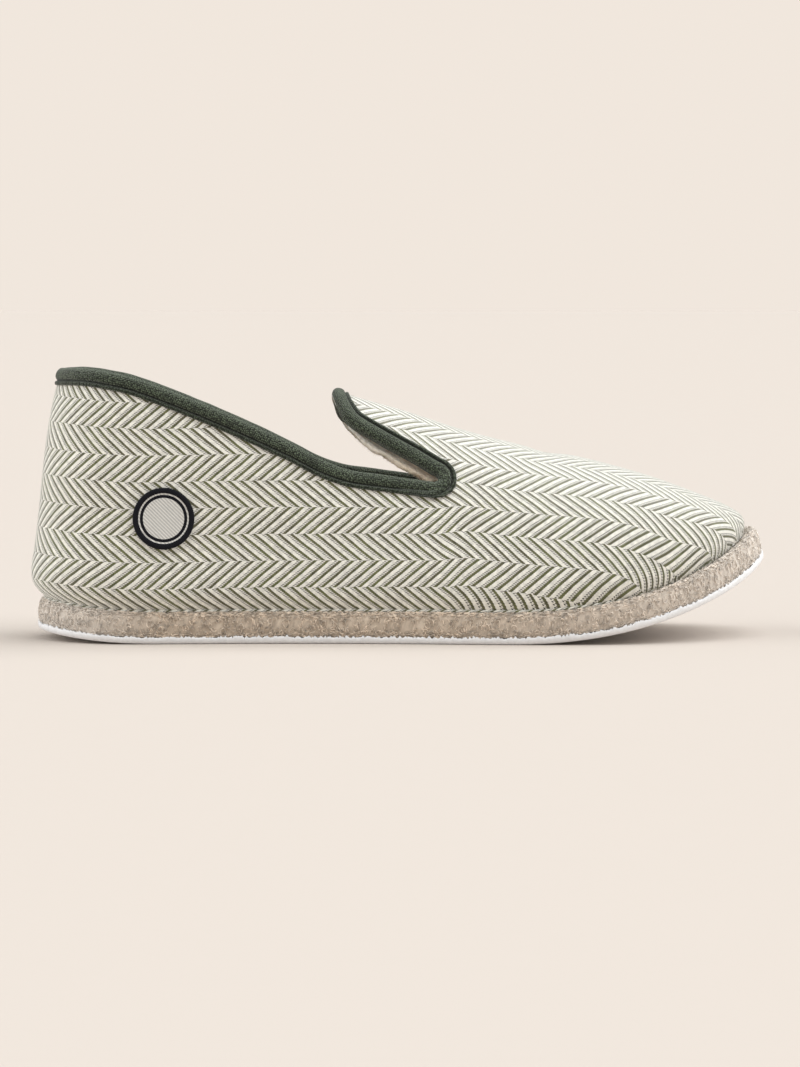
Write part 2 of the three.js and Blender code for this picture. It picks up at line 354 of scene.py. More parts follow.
def sole_height(at):
    """Height of the felt's top over the ground line."""
    rise = FELT_TOE_RISE * smooth((at - 0.8) / 0.2)
    return RUBBER_THICKNESS + CLEARANCE + FELT_THICKNESS + rise


def seam_edge(at):
    """How far the seam stands inside the sole's edge."""
    return SEAM_INSET + (TOE_LEDGE - SEAM_INSET) * smooth((at - 0.7) / 0.3)


def ridge_height(x):
    """Height of the last's ridge, read from the side view."""
    return read(RIDGE, 1, x / SOLE_LENGTH) * PEAK_HEIGHT


def flat_edge(way, side):
    """Flat outline of the sole: way runs from 0 at the heel to 1 at the toe."""
    at = (1 - np.cos(math.pi * way)) / 2
    s = at * SOLE_LENGTH
    heel = np.sqrt(1 - (1 - np.clip(s / HEEL_CAP, 0, 1)) ** 2)
    toe = np.sqrt(1 - (1 - np.clip((SOLE_LENGTH - s) / TOE_CAP, 0, 1)) ** 2)
    half = np.where(side < 0, read(OUTLINE, 1, at), read(OUTLINE, 2, at)) * BALL_WIDTH
    return s, side * half * heel * toe + toe_turn(at), at


def moved_edge(way, side, out):
    """The same outline moved out square to itself."""
    step = 1e-4
    s, y, at = flat_edge(way, side)
    before = flat_edge(np.maximum(way - step, 0), side)
    after = flat_edge(np.minimum(way + step, 1), side)
    ds = after[0] - before[0]
    dy = after[1] - before[1]
    ds = np.where((way < step) | (way > 1 - step), 0.0, ds)
    dy = np.where(way < step, side, np.where(way > 1 - step, -side, dy))
    size = np.hypot(ds, dy)
    return s - side * dy * out / size, y + side * ds * out / size, at


def last_axis(at):
    """Where a rib of the last stands, under its crest."""
    s = np.clip(at * SOLE_LENGTH, HEEL_AXIS, TOE_AXIS)
    here = s / SOLE_LENGTH
    return on_sole(s, toe_turn(here), sole_height(here) + CLEARANCE)


def last_points(way, side, climb):
    """Points of the last: one row for each way, from the seam up to the ridge."""
    way = np.atleast_1d(np.asarray(way, float))
    side = np.broadcast_to(np.asarray(side, float), way.shape)
    climb = np.atleast_1d(np.asarray(climb, float))
    s, y, at = moved_edge(way, side, -seam_edge(flat_edge(way, side)[2]))
    foot = on_sole(s, y, sole_height(at) + CLEARANCE)
    axis = last_axis(at)
    away = foot[:, :2] - axis[:, :2]
    reach = np.hypot(away[:, 0], away[:, 1])
    climbs = climb if climb.ndim > 1 else climb[None, :]
    turn = math.pi / 2 * climbs ** CLIMB_EASE
    upward = read(SECTIONS, 1, at)[:, None]
    sideways = read(SECTIONS, 2, at)[:, None]
    swell = read(SECTIONS, 3, at)[:, None] * HEEL_BULGE
    out = reach[:, None] * np.abs(np.cos(turn)) ** (2 / sideways)
    rise = np.sin(turn) ** (2 / upward)
    heading = away / reach[:, None]
    up = rise * (ridge_height(axis[:, 0:1] + heading[:, 0:1] * out) - foot[:, 2:3])
    q = up / BULGE_HEIGHT
    puff = swell * 2 * q / (1 + q * q) * (1 - climbs ** 6)
    return np.stack((
        axis[:, 0:1] + heading[:, 0:1] * (out + puff),
        axis[:, 1:2] + heading[:, 1:2] * (out + puff),
        foot[:, 2:3] + up,
    ), axis=-1)


def frame_shift():
    """How far the part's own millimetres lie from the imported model's frame."""
    low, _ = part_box("upper")
    heel = last_points(0.0, OUTER, np.arange(17) / 16)[0]
    ways = np.arange(35) / 34
    swell = 0.3 * FELT_BULGE
    edge = np.concatenate([moved_edge(ways, side, swell)[1] for side in (OUTER, INNER)])
    sole_low, sole_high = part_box("outsole")
    return np.array((
        low.x * 1000 - heel[:, 0].min(),
        (sole_low.y + sole_high.y) * 500 - (edge.min() + edge.max()) / 2,
        0.0,
    ))


SHIFT = frame_shift()


def spline(points, count):
    """Evenly spaced points on the curve through the given ones."""
    p = np.array(points, float)
    last = len(p) - 1
    t = np.linspace(0, last, 40 * last + 1)
    i = np.minimum(t.astype(int), last - 1)
    w = (t - i)[:, None]
    a = p[np.maximum(i - 1, 0)]
    b = p[i]
    c = p[i + 1]
    d = p[np.minimum(i + 2, last)]
    v0 = (c - a) / 2
    v1 = (d - b) / 2
    curve = (
        (2 * b - 2 * c + v0 + v1) * w ** 3
        + (-3 * b + 3 * c - 2 * v0 - v1) * w ** 2
        + v0 * w
        + b
    )
    run = run_along(curve)
    return picked(np.linspace(0, run[-1], count), run, curve)


def opening_outline():
    """Edge of the cloth seen from the side, closed far behind and above the slipper."""
    beyond = 60.0
    drop = HEEL_HEIGHT - (CORNER_HEIGHT - CORNER_RADIUS)
    quarter = [(at * CORNER_REACH, HEEL_HEIGHT - fall * drop) for at, fall in COLLAR]
    rise = PEAK_HEIGHT - (CORNER_HEIGHT + CORNER_RADIUS)
    vamp = [
        (CORNER_REACH - back * (CORNER_REACH - PEAK_REACH), CORNER_HEIGHT + CORNER_RADIUS + up * rise)
        for back, up in THROAT
    ]
    turns = np.radians(np.linspace(-80, 80, 17))
    corner = np.stack((
        CORNER_REACH + CORNER_RADIUS * np.cos(turns),
        CORNER_HEIGHT + CORNER_RADIUS * np.sin(turns),
    ), axis=1)
    back = spline(quarter, 90)
    front = spline(vamp, 60)
    high = HEEL_HEIGHT + beyond
    return np.concatenate((
        [(-beyond, back[0][1])], back, corner, front, [(front[-1][0], high), (-beyond, high)],
    ))


def side_distance(points, outline):
    """Distance from a closed outline in the side view, below zero inside it."""
    p = points[:, (0, 2)]
    inside = np.zeros(len(p), bool)
    best = np.full(len(p), 1e9)
    ring = np.concatenate((outline, outline[:1]))
    for a, b in zip(ring[:-1], ring[1:]):
        ab = b - a
        t = np.clip(((p - a) @ ab) / (ab @ ab), 0, 1)
        best = np.minimum(best, np.linalg.norm(p - a - t[:, None] * ab, axis=1))
        if a[1] != b[1]:
            crosses = (a[1] > p[:, 1]) != (b[1] > p[:, 1])
            inside ^= crosses & (p[:, 0] < a[0] + (p[:, 1] - a[1]) / (b[1] - a[1]) * ab[0])
    return np.where(inside, -best, best)


# Sheets of cloth


class Sheet:
    """Points with normals and a chart, and the faces between them."""

    def __init__(self, points, normals, chart, faces):
        self.points = points
        self.normals = normals
        self.chart = chart
        self.faces = faces


def last_grid(ways, rows):
    """The last as one grid: each line goes from the outer seam over the ridge to the inner."""
    fine = np.linspace(0, 1, 260) ** 0.7
    sides = []
    for side in (OUTER, INNER):
        ribs = last_points(ways, side, fine)
        even = np.empty((len(ways), rows + 1, 3))
        for k, rib in enumerate(ribs):
            run = run_along(rib)
            even[k] = picked(np.linspace(0, run[-1], rows + 1), run, rib)
        sides.append(even)
    grid = np.concatenate((sides[0], sides[1][:, -2::-1]), axis=1)
    along = np.gradient(grid, axis=0)
    across = np.gradient(grid, axis=1)
    normals = unit(np.cross(along, across))
    # Ribs end to end at heel and toe: the outside there looks straight back or forward
    for row, sign in ((0, -1), (-1, 1)):
        up = across[row]
        flat = np.stack((up[:, 2], np.zeros(len(up)), -up[:, 0]), axis=1)
        flat *= np.sign(flat[:, 0:1] + 1e-12) * sign
        normals[row] = unit(flat)
    x = grid[:, rows, 0]
    crest = unit(np.stack((
        ridge_height(x - 1) - ridge_height(x + 1), np.zeros_like(x), np.full_like(x, 2.0)), axis=1))
    normals[:, rows] = crest
    return grid, normals


# Steps of the fine outlines that lengths are measured on
FINE_STEPS = 4001


def edge_run(side):
    """The sole's outline on one side: fine ways, lengths from the heel and lengths along it."""
    fine = np.linspace(0, 1, FINE_STEPS)
    s, y, _ = flat_edge(fine, side)
    return fine, s, run_along(np.stack((s, y), axis=1))


def outline_run(ways, side):
    """Length along the seam outline from the heel's axis, less than zero behind it."""
    fine, s, run = edge_run(side)
    return np.interp(ways, fine, run) - np.interp(HEEL_AXIS, s, run)


# Length of the cloth from the outer seam up to the ridge, and roundness of the vamp's rows
RIDGE_ARC = 91.5
ROW_ROUNDNESS = 1.53
# Lengths from the heel: the vamp's rows start, they run freely, the toe spreads them
VAMP_FROM = 150.0
ROWS_FROM = 165.0
SPREAD_FROM = 235.0
TOE_SPREAD = 0.3
# Rise of the line between the quarter's rows and the vamp's, toward the heel
MEETING_SLOPE = 0.45
# Length over which the rows turn round the heel
HEEL_BLEND = 28.0


def weave_chart(grid, ways, rows):
    """Where each point lies on the cloth: along the rows and up from the outer seam."""
    step = np.linalg.norm(np.diff(grid, axis=1), axis=2)
    zero = np.zeros((len(ways), 1))
    up_outer = np.concatenate((zero, np.cumsum(step[:, :rows], axis=1)), axis=1)
    up_inner = np.concatenate((zero, np.cumsum(step[:, ::-1][:, :rows], axis=1)), axis=1)
    up = np.concatenate((up_outer, 2 * RIDGE_ARC - up_inner[:, -2::-1]), axis=1)
    x = grid[..., 0]
    y = grid[..., 1]
    z = grid[..., 2]
    aside = np.abs(y - toe_turn(x / SOLE_LENGTH))
    below = np.abs(ridge_height(x) - z)
    far = (aside ** ROW_ROUNDNESS + below ** ROW_ROUNDNESS) ** (1 / ROW_ROUNDNESS)
    far *= 1 + TOE_SPREAD * smooth((x - SPREAD_FROM) / 35)
    side = np.ones(grid.shape[1])
    side[:rows] = -1
    vamp = RIDGE_ARC + side[None, :] * far
    line = CORNER_HEIGHT + (CORNER_REACH + CORNER_RADIUS - x) * MEETING_SLOPE
    over = smooth((z - line) / 6 + 0.5) * (x > PEAK_REACH - 4)
    weight = np.maximum(smooth((x - VAMP_FROM) / 15), over)
    v = up + (vamp - up) * weight
    runs = [outline_run(ways, s)[:, None] for s in (OUTER, INNER)]
    round_heel = np.concatenate((runs[0].repeat(rows, axis=1), runs[1].repeat(rows + 1, axis=1)), axis=1)
    heel = smooth((HEEL_AXIS + HEEL_BLEND / 2 - x) / HEEL_BLEND)
    u = x + (round_heel + HEEL_AXIS - x) * heel
    # From the instep on, the cloth's length is measured along its rows, line by line
    for k in range(1, len(ways)):
        if x[k].min() > ROWS_FROM:
            before = picked(v[k], v[k - 1], grid[k - 1])
            u[k] = np.interp(v[k], v[k - 1], u[k - 1]) + np.linalg.norm(grid[k] - before, axis=1)
    return np.stack((u, v), axis=-1)


def grid_faces(lines, columns):
    """Faces between the lines of a grid of points."""
    faces = []
    for i in range(lines - 1):
        for j in range(columns - 1):
            a = i * columns + j
            faces.append((a, a + columns, a + columns + 1, a + 1))
    return faces


def clipped(sheet, field):
    """The part of a sheet where the field is above zero, and the pieces of its new edge."""
    keep = field > 0
    extra = []
    made = {}
    first = len(sheet.points)

    def crossing(a, b):
        key = (min(a, b), max(a, b))
        if key not in made:
            t = field[a] / (field[a] - field[b])
            made[key] = first + len(extra)
            extra.append([
                values[a] + (values[b] - values[a]) * t
                for values in (sheet.points, sheet.normals, sheet.chart)
            ])
        return made[key]

    faces = []
    edges = []
    for face in sheet.faces:
        kept = [keep[k] for k in face]
        if all(kept):
            faces.append(face)
            continue
        if not any(kept):
            continue
        shape = []
        cuts = []
        for a, b in zip(face, face[1:] + face[:1]):
            if keep[a]:
                shape.append(a)
            if keep[a] != keep[b]:
                cut = crossing(a, b)
                shape.append(cut)
                cuts.append(cut)
        faces.append(tuple(shape))
        if len(cuts) == 2:
            edges.append(tuple(cuts))
    points = np.concatenate((sheet.points, [e[0] for e in extra]))
    normals = unit(np.concatenate((sheet.normals, [e[1] for e in extra])))
    chart = np.concatenate((sheet.chart, [e[2] for e in extra]))
    return Sheet(points, normals, chart, faces), edges


def chained(edges):
    """Edge pieces in order, from one open end to the other."""
    near = {}
    for a, b in edges:
        near.setdefault(a, []).append(b)
        near.setdefault(b, []).append(a)
    line = [min(k for k, others in near.items() if len(others) == 1)]
    before = None
    while True:
        onward = [k for k in near[line[-1]] if k != before]
        if not onward:
            return line
        before = line[-1]
        line.append(onward[0])


# Meshes


def weld_map(points):
    """For each point, the first point at the same place."""
    keys = np.round(points / 0.02).astype(np.int64)
    _, first, ids = np.unique(keys, axis=0, return_index=True, return_inverse=True)
    return first[ids.reshape(-1)]


def open_edges(faces, same):
    """Edges with a face on one side only."""
    seen = {}
    for face in faces:
        for a, b in zip(face, face[1:] + face[:1]):
            if same[a] != same[b]:
                seen[(same[a], same[b])] = (a, b)
    return [pair for key, pair in seen.items() if key[::-1] not in seen]


def shell(sheet, outside, inside):
    """Closed thin solid between two offsets of a sheet, as points, chart and faces."""
    same = weld_map(sheet.points)
    count = len(sheet.points)
    points = np.concatenate((
        (sheet.points + sheet.normals * outside)[same],
        (sheet.points + sheet.normals * inside)[same],
    ))
    faces = list(sheet.faces) + [tuple(k + count for k in face[::-1]) for face in sheet.faces]
    for a, b in open_edges(sheet.faces, same):
        faces.append((b, a, a + count, b + count))
    return points, np.concatenate((sheet.chart, sheet.chart)), faces


def add_mesh(name, points, faces, materials, chart=None, slots=None, weld=True):
    """A smooth mesh object from part millimetres, welded where points meet."""
    same = weld_map(points) if weld else np.arange(len(points))
    used = np.unique(same[[k for face in faces for k in face]])
    compact = np.zeros(len(points), int)
    compact[used] = np.arange(len(used))
    compact = compact[same]
    corners = []
    kept = []
    kept_slots = []
    for index, face in enumerate(faces):
        shape = [k for k, after in zip(face, face[1:] + face[:1]) if same[k] != same[after]]
        if len(shape) > 2:
            corners.extend(shape)
            kept.append([int(compact[k]) for k in shape])
            kept_slots.append(slots[index] if slots else 0)
    mesh = bpy.data.meshes.new(name)
    mesh.from_pydata(((points[used] + SHIFT) / 1000).tolist(), [], kept)
    mesh.polygons.foreach_set("use_smooth", np.ones(len(kept), bool))
    mesh.polygons.foreach_set("material_index", np.array(kept_slots, np.int32))
    for material in materials:
        mesh.materials.append(material)
    if chart is not None:
        layer = mesh.uv_layers.new(name="chart")
        layer.data.foreach_set("uv", (chart[corners] / 1000).astype(np.float32).ravel())
    mesh.update()
    if mesh.validate(clean_customdata=False):
        raise RuntimeError(f"{name}: its mesh has faces that aren't sound")
    piece = bpy.data.objects.new(name, mesh)
    bpy.context.scene.collection.objects.link(piece)
    return piece


def place(piece, slot_name, *nodes):
    """Hands a piece to the frame: its body, and hides the nodes that it stands for; the finish's name is
    not used.
    """
    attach(piece, "root")
    if nodes:
        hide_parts(*nodes)


def ruffle(points, size, seed):
    """Soft noise at each point, about -1 to 1."""
    shift = Vector((seed * 17.3, seed * 5.1, seed * 9.7))
    return np.array([noise.noise(Vector(p) / size + shift) for p in points])


def unevenness(run, size, seed):
    """Soft noise along a line, about -1 to 1."""
    zero = np.zeros(len(run))
    return ruffle(np.stack((run, zero, zero), axis=1), size, seed)


# Materials


def feed(tree, socket, value):
    """Gives a socket a value, a colour or another node's output."""
    if isinstance(value, bpy.types.NodeSocket):
        tree.links.new(value, socket)
    elif socket.type == "RGBA":
        socket.default_value = (*value, 1.0)
    else:
        socket.default_value = value


def node(tree, kind, settings=None, **inputs):
    """A node with its settings and inputs, where _0 stands for the first input."""
    made = tree.nodes.new(kind)
    for key, value in (settings or {}).items():
        setattr(made, key, value)
    for key, value in inputs.items():
        name = key.replace("_", " ")
        feed(tree, made.inputs[int(name[1:]) if name[1:].isdigit() else name], value)
    return made


def calc(tree, operation, *values):
    """Output of one math node."""
    made = node(tree, "ShaderNodeMath", {"operation": operation})
    for socket, value in zip(made.inputs, values):
        feed(tree, socket, value)
    return made.outputs[0]


def ramp(tree, value, low, high, most=1.0):
    """Rises evenly from 0 at a low value to the most at a high one."""
    return node(
        tree, "ShaderNodeMapRange", Value=value, From_Min=low, From_Max=high, To_Max=most).outputs[0]


def blended(tree, amount, first, second):
    """Mix of two colours."""
    return node(
        tree, "ShaderNodeMix", {"data_type": "RGBA"}, _0=amount, _6=first, _7=second).outputs[2]


def shade(tint, factor):
    """A colour made darker or paler by a factor."""
    return [min(c * factor, 1.0) for c in tint]


def object_point(tree):
    """Place in the object's own space, in metres."""
    return node(tree, "ShaderNodeTexCoord").outputs["Object"]


def chart_place(tree):
    """Place on a sheet's chart, in metres: the whole, along it and across it."""
    chart = node(tree, "ShaderNodeUVMap", {"uv_map": "chart"}).outputs[0]
    parts = node(tree, "ShaderNodeSeparateXYZ", Vector=chart)
    return chart, parts.outputs[0], parts.outputs[1]


# Effects that more than one material uses, each a shader node group


def effect(tree, name, build, output, **inputs):
    """Output of a node group with float sockets, which is built when it is first needed."""
    group = bpy.data.node_groups.get(name)
    if group is None:
        group = bpy.data.node_groups.new(name, "ShaderNodeTree")
        labels = [key.replace("_", " ") for key in inputs]
        for label in labels:
            group.interface.new_socket(label, in_out="INPUT", socket_type="NodeSocketFloat")
        group.interface.new_socket(output, in_out="OUTPUT", socket_type="NodeSocketFloat")
        given = node(group, "NodeGroupInput").outputs
        made = build(group, *(given[label] for label in labels))
        group.links.new(made, node(group, "NodeGroupOutput").inputs[output])
    return node(tree, "ShaderNodeGroup", {"node_tree": group}, **inputs).outputs[output]


def build_grain(group, scale, detail):
    """Noise in the object's own space."""
    return node(
        group, "ShaderNodeTexNoise", Vector=object_point(group), Scale=scale, Detail=detail).outputs[0]


def grain(tree, scale, detail=2.0):
    """Soft spots, as many a metre as the scale says."""
    return effect(tree, "grain", build_grain, "Grain", Scale=scale, Detail=detail)


def build_soft_band(group, value, rise_from, rise_to, fall_from, fall_to):
    """Two soft steps, one up and one down."""
    eased = {"interpolation_type": "SMOOTHSTEP"}
    rise = node(
        group, "ShaderNodeMapRange", eased, Value=value, From_Min=rise_from, From_Max=rise_to)
    fall = node(
        group, "ShaderNodeMapRange", eased, Value=value, From_Min=fall_from, From_Max=fall_to,
        To_Min=1.0, To_Max=0.0)
    return calc(group, "MULTIPLY", rise.outputs[0], fall.outputs[0])


def soft_band(tree, value, low, high, blur):
    """1 where a value lies between two edges, with soft edges."""
    return effect(
        tree, "soft_band", build_soft_band, "Band", Value=value, Rise_From=low - blur,
        Rise_To=low + blur, Fall_From=high - blur, Fall_To=high + blur)


def build_painted_top_highlight(group, low, high, most):
    """Painted highlight: rises with the upward part of the surface's direction."""
    facing = node(group, "ShaderNodeNewGeometry").outputs["Normal"]
    return ramp(group, node(group, "ShaderNodeSeparateXYZ", Vector=facing).outputs[2], low, high, most)


def painted_top_highlight(tree, low, high, most):
    """How much painted highlight a surface that faces up gets from the light above."""
    return effect(tree, "painted_top_highlight", build_painted_top_highlight, "Mask", Low=low, High=high, Most=most)


def build_wool_end_light(group):
    """Painted light: two ramps along the sole, from its middle to the toe and to the heel's end."""
    reach = node(group, "ShaderNodeSeparateXYZ", Vector=object_point(group)).outputs[0]
    heel = node(
        group, "ShaderNodeMapRange", {"interpolation_type": "SMOOTHSTEP"},
        Value=calc(group, "MULTIPLY", reach, -1.0), From_Min=0.085, From_Max=0.130).outputs[0]
    return calc(group, "MAXIMUM", ramp(group, reach, 0.015, 0.140), heel)


def wool_end_light(tree):
    """1 where the felt's wool gets most painted light, at the heel's end and more slowly toward the toe.
    """
    return effect(tree, "wool_end_light", build_wool_end_light, "Bleach")


# One function a material


def new_material(name):
    """An empty material with its shader and output, returned with its tree and shader."""
    material = bpy.data.materials.new(name)
    material.use_nodes = True
    tree = material.node_tree
    tree.nodes.clear()
    shader = node(tree, "ShaderNodeBsdfPrincipled")
    tree.links.new(shader.outputs[0], node(tree, "ShaderNodeOutputMaterial").inputs[0])
    return material, tree, shader


def dress(tree, shader, tint, **values):
    """Links a shader's colour and sets the sockets that are the same all over."""
    tree.links.new(tint, shader.inputs["Base Color"])
    for key, value in values.items():
        shader.inputs[key.replace("_", " ")].default_value = value


def bump(tree, shader, height, strength, distance):
    """Fine relief from a height, for the shader's normal."""
    made = node(tree, "ShaderNodeBump", Height=height, Strength=strength, Distance=distance)
    tree.links.new(made.outputs[0], shader.inputs["Normal"])


def cloth_material(cloth):
    """Herringbone twill: pale stripe, dotted line and olive stripe, turned at every row."""
    if "herringbone" in bpy.data.materials:
        return bpy.data.materials["herringbone"]
    material, tree, shader = new_material("herringbone")
    _, along, up = chart_place(tree)
    wander = calc(tree, "MULTIPLY_ADD", grain(tree, 90.0), 0.0008, -0.0004)
    row = calc(tree, "DIVIDE", calc(tree, "ADD", up, wander), cloth.row_height)
    fold = calc(tree, "PINGPONG", row, 1.0)
    run = calc(tree, "MULTIPLY_ADD", fold, cloth.stripe_lean * cloth.row_height, along)
    # Forty rows, and later a hundred stripes, are added to keep the values above zero
    odd = calc(tree, "FLOOR", calc(tree, "MODULO", calc(tree, "ADD", row, 40.0), 2.0))
    stripe = calc(tree, "DIVIDE", run, cloth.stripe_pitch)
    stripe = calc(tree, "SUBTRACT", stripe, calc(tree, "MULTIPLY", odd, cloth.row_shift))
    picks = calc(tree, "SINE", calc(tree, "MULTIPLY", up, 2 * math.pi / cloth.pick_pitch))
    pulse = ramp(tree, picks, -0.5, 0.5)
    ragged = calc(tree, "MULTIPLY_ADD", picks, 0.018, stripe)
    phase = calc(tree, "FRACT", calc(tree, "ADD", ragged, 100.0))
    blur = 0.02
    dark_dots = soft_band(tree, phase, 0.385, 0.545, blur)
    white_dots = soft_band(tree, phase, 0.56, 0.70, blur)
    olive = soft_band(tree, phase, 0.69, 0.97, blur)
    yarn = ramp(tree, grain(tree, 650.0), 0.3, 0.7)
    tone = ramp(tree, grain(tree, 120.0), 0.4, 0.6)
    pale = blended(tree, yarn, shade(cloth.pale, 0.84), shade(cloth.pale, 1.13))
    warm = blended(tree, yarn, shade(cloth.dark, 0.5), shade(cloth.dark, 1.3))
    green = blended(tree, yarn, shade(cloth.olive, 0.55), shade(cloth.olive, 1.4))
    green = blended(tree, tone, warm, green)
    lit = blended(tree, calc(tree, "MULTIPLY", pulse, 0.22), green, shade(cloth.olive, 2.2))
    dot = calc(tree, "MULTIPLY", dark_dots, calc(tree, "MULTIPLY_ADD", pulse, 0.95, 0.05))
    gap = calc(tree, "MULTIPLY", white_dots, calc(tree, "MULTIPLY_ADD", pulse, -0.85, 0.85))
    tint = blended(tree, dot, pale, cloth.dots)
    tint = blended(tree, gap, tint, cloth.dark)
    tint = blended(tree, olive, tint, lit)
    # Painted highlight: where the cloth faces up its stripes pale toward the pale yarn, as the light
    # from above washes them out
    tint = blended(tree, painted_top_highlight(tree, 0.35, 0.85, 0.15), tint, shade(cloth.pale, 0.97))
    dress(tree, shader, tint, Roughness=0.85, Sheen_Weight=0.4)
    threads = calc(tree, "SINE", calc(tree, "MULTIPLY", stripe, 2 * math.pi * 8))
    lift = calc(tree, "MULTIPLY_ADD", picks, 0.25, calc(tree, "MULTIPLY", olive, -0.35))
    bump(tree, shader, calc(tree, "MULTIPLY_ADD", threads, 0.2, lift), 0.4, 0.00015)
    return material


def fleece_material(name, tint, scale=420.0, corner=None, scatter=0.5):
    """Brushed wool pile, with painted shade in another tint toward the throat's corners where one is
    given.
    """
    material, tree, shader = new_material(name)
    point = object_point(tree)
    soft = node(
        tree, "ShaderNodeTexNoise", Vector=point, Scale=scale, Detail=5.0, Roughness=0.65,
        Distortion=0.6).outputs[0]
    wide = grain(tree, scale / 4, 3.0)
    mixed = calc(tree, "MULTIPLY_ADD", wide, 1.1, calc(tree, "MULTIPLY_ADD", soft, 1.3, -0.7))
    mixed = node(tree, "ShaderNodeClamp", Value=mixed).outputs[0]
    pile = blended(tree, mixed, shade(tint, 0.7), shade(tint, 1.15))
    # Painted shade: below the corners' height the pile goes to the darker corner tint
    if corner is not None:
        rise = ramp(tree, node(tree, "ShaderNodeSeparateXYZ", Vector=point).outputs[2], 0.063, 0.080)
        pile = blended(tree, rise, blended(tree, mixed, shade(corner, 0.75), shade(corner, 1.15)), pile)
    dress(
        tree, shader, pile, Roughness=0.95, Sheen_Weight=0.12, Subsurface_Weight=scatter,
        Subsurface_Scale=0.004, Subsurface_Radius=(1.0, 0.75, 0.5))
    bump(tree, shader, calc(tree, "MULTIPLY_ADD", wide, 1.5, soft), 0.8, 0.0015)
    return material


def tape_material(tape):
    """Fine knitted tape: rows of small uneven knots, and painted shade along the hollow under the roll.
    """
    material, tree, shader = new_material("woven_tape")
    chart, _, across = chart_place(tree)
    cells = node(
        tree, "ShaderNodeTexVoronoi", {"voronoi_dimensions": "2D"},
        Vector=chart, Scale=1 / tape.knit_pitch, Randomness=0.65)
    spread = node(tree, "ShaderNodeSeparateColor", Color=cells.outputs["Color"]).outputs[0]
    knots = calc(tree, "MULTIPLY_ADD", cells.outputs["Distance"], -1.5, 1.05)
    knots = node(tree, "ShaderNodeClamp", Value=knots).outputs[0]
    fine = grain(tree, 1900.0)
    mask = calc(tree, "MULTIPLY_ADD", fine, 0.8, calc(tree, "MULTIPLY_ADD", knots, 1.1, -0.65))
    mask = calc(tree, "MULTIPLY", mask, calc(tree, "MULTIPLY_ADD", spread, 1.3, 0.35))
    mask = calc(tree, "MULTIPLY", mask, calc(tree, "MULTIPLY_ADD", grain(tree, 90.0), 0.9, 0.4))
    mask = node(tree, "ShaderNodeClamp", Value=mask).outputs[0]
    # Painted shade: in the hollow under the roll the knots dim and the colour falls to near black
    groove_shade = soft_band(tree, across, TAPE_GROOVE - 0.0006, TAPE_GROOVE + 0.0007, 0.0005)
    mask = calc(tree, "MULTIPLY", mask, calc(tree, "MULTIPLY_ADD", groove_shade, -0.7, 1.0))
    flange = ramp(tree, across, TAPE_GROOVE, TAPE_GROOVE + 0.0006, 0.4)
    mask = calc(tree, "MULTIPLY", mask, calc(tree, "SUBTRACT", 1.0, flange))
    tint = blended(tree, mask, tape.green, tape.bright)
    # Painted shade colour, near black, in the hollow under the roll
    tint = blended(tree, calc(tree, "MULTIPLY", groove_shade, 0.55), tint, (0.003, 0.004, 0.002))
    # Painted highlight: the tape's upward faces pale toward its highlight colour under the light from
    # above
    tint = blended(tree, painted_top_highlight(tree, 0.4, 1.0, 0.2), tint, tape.bright)
    dress(tree, shader, tint, Roughness=0.9, Specular_IOR_Level=0.2, Sheen_Weight=0.25)
    bump(tree, shader, calc(tree, "MULTIPLY_ADD", fine, 0.5, knots), 1.0, 0.0004)
    return material


def felt_material(sole):
    """Looped wool: pale curls over painted shade in the creases between them, from the mesh's own
    relief.
    """
    material, tree, shader = new_material("looped_felt")
    relief = node(tree, "ShaderNodeAttribute", {"attribute_name": "relief"}).outputs["Fac"]
    fine = grain(tree, 1500.0, 3.0)
    # Painted shade: the lower the mesh's relief, the more the tint goes to the crease shade
    amount = calc(tree, "MULTIPLY_ADD", fine, 0.5, calc(tree, "MULTIPLY_ADD", relief, 1.1, -0.25))
    # Painted light: the felt pales and greys toward the heel's end and the toe
    end = wool_end_light(tree)
    pale = blended(tree, end, sole.wool, sole.wool_grey)
    # Painted crease shade, greyer toward the ends
    deep = blended(tree, end, sole.wool_crease_shade, shade(sole.wool_grey, 0.55))
    warm = blended(tree, grain(tree, 60.0), shade(sole.wool, 0.86), shade(sole.wool, 1.12))
    tint = blended(tree, 0.2, blended(tree, amount, deep, pale), warm)
    tint = blended(tree, 0.3, tint, deep)
    dress(tree, shader, tint, Roughness=0.95, Sheen_Weight=0.25)
    bump(tree, shader, fine, 0.6, 0.0004)
    return material


def wool_fibre_material(sole):
    """Single curled fibres, each part a little different in tone."""
    material, tree, shader = new_material("wool_fibre")
    tone = ramp(tree, grain(tree, 520.0, 1.0), 0.35, 0.65)
    # Painted light: the curls pale and grey toward the heel's end and the toe
    end = wool_end_light(tree)
    low = blended(tree, end, shade(sole.wool, 0.55), shade(sole.wool_grey, 0.72))
    high = blended(tree, end, shade(sole.wool, 1.12), shade(sole.wool_grey, 1.07))
    dress(tree, shader, blended(tree, tone, low, high), Roughness=0.9, Sheen_Weight=0.2)
    return material


def rubber_material(sole):
    """Matt white rubber with a faint cast grain."""
    material, tree, shader = new_material("white_rubber")
    fine = grain(tree, 700.0, 3.0)
    tint = blended(tree, fine, shade(sole.rubber, 0.88), shade(sole.rubber, 1.1))
    dress(tree, shader, tint, Roughness=0.55)
    bump(tree, shader, fine, 0.4, 0.0003)
    return material


def patch_material(name, low, high, pitch):
    """Twill thread of the patch."""
    material, tree, shader = new_material(name)
    _, along, up = chart_place(tree)
    run = calc(tree, "ADD", along, up)
    wave = calc(tree, "SINE", calc(tree, "MULTIPLY", run, 2 * math.pi / pitch))
    wave = calc(tree, "MULTIPLY_ADD", wave, 0.5, 0.5)
    fine = calc(tree, "MULTIPLY", grain(tree, 1200.0), 0.3)
    tint = blended(tree, calc(tree, "MULTIPLY_ADD", wave, 0.7, fine), low, high)
    dress(tree, shader, tint, Roughness=0.9, Specular_IOR_Level=0.25)
    bump(tree, shader, wave, 0.6, 0.0002)
    return material


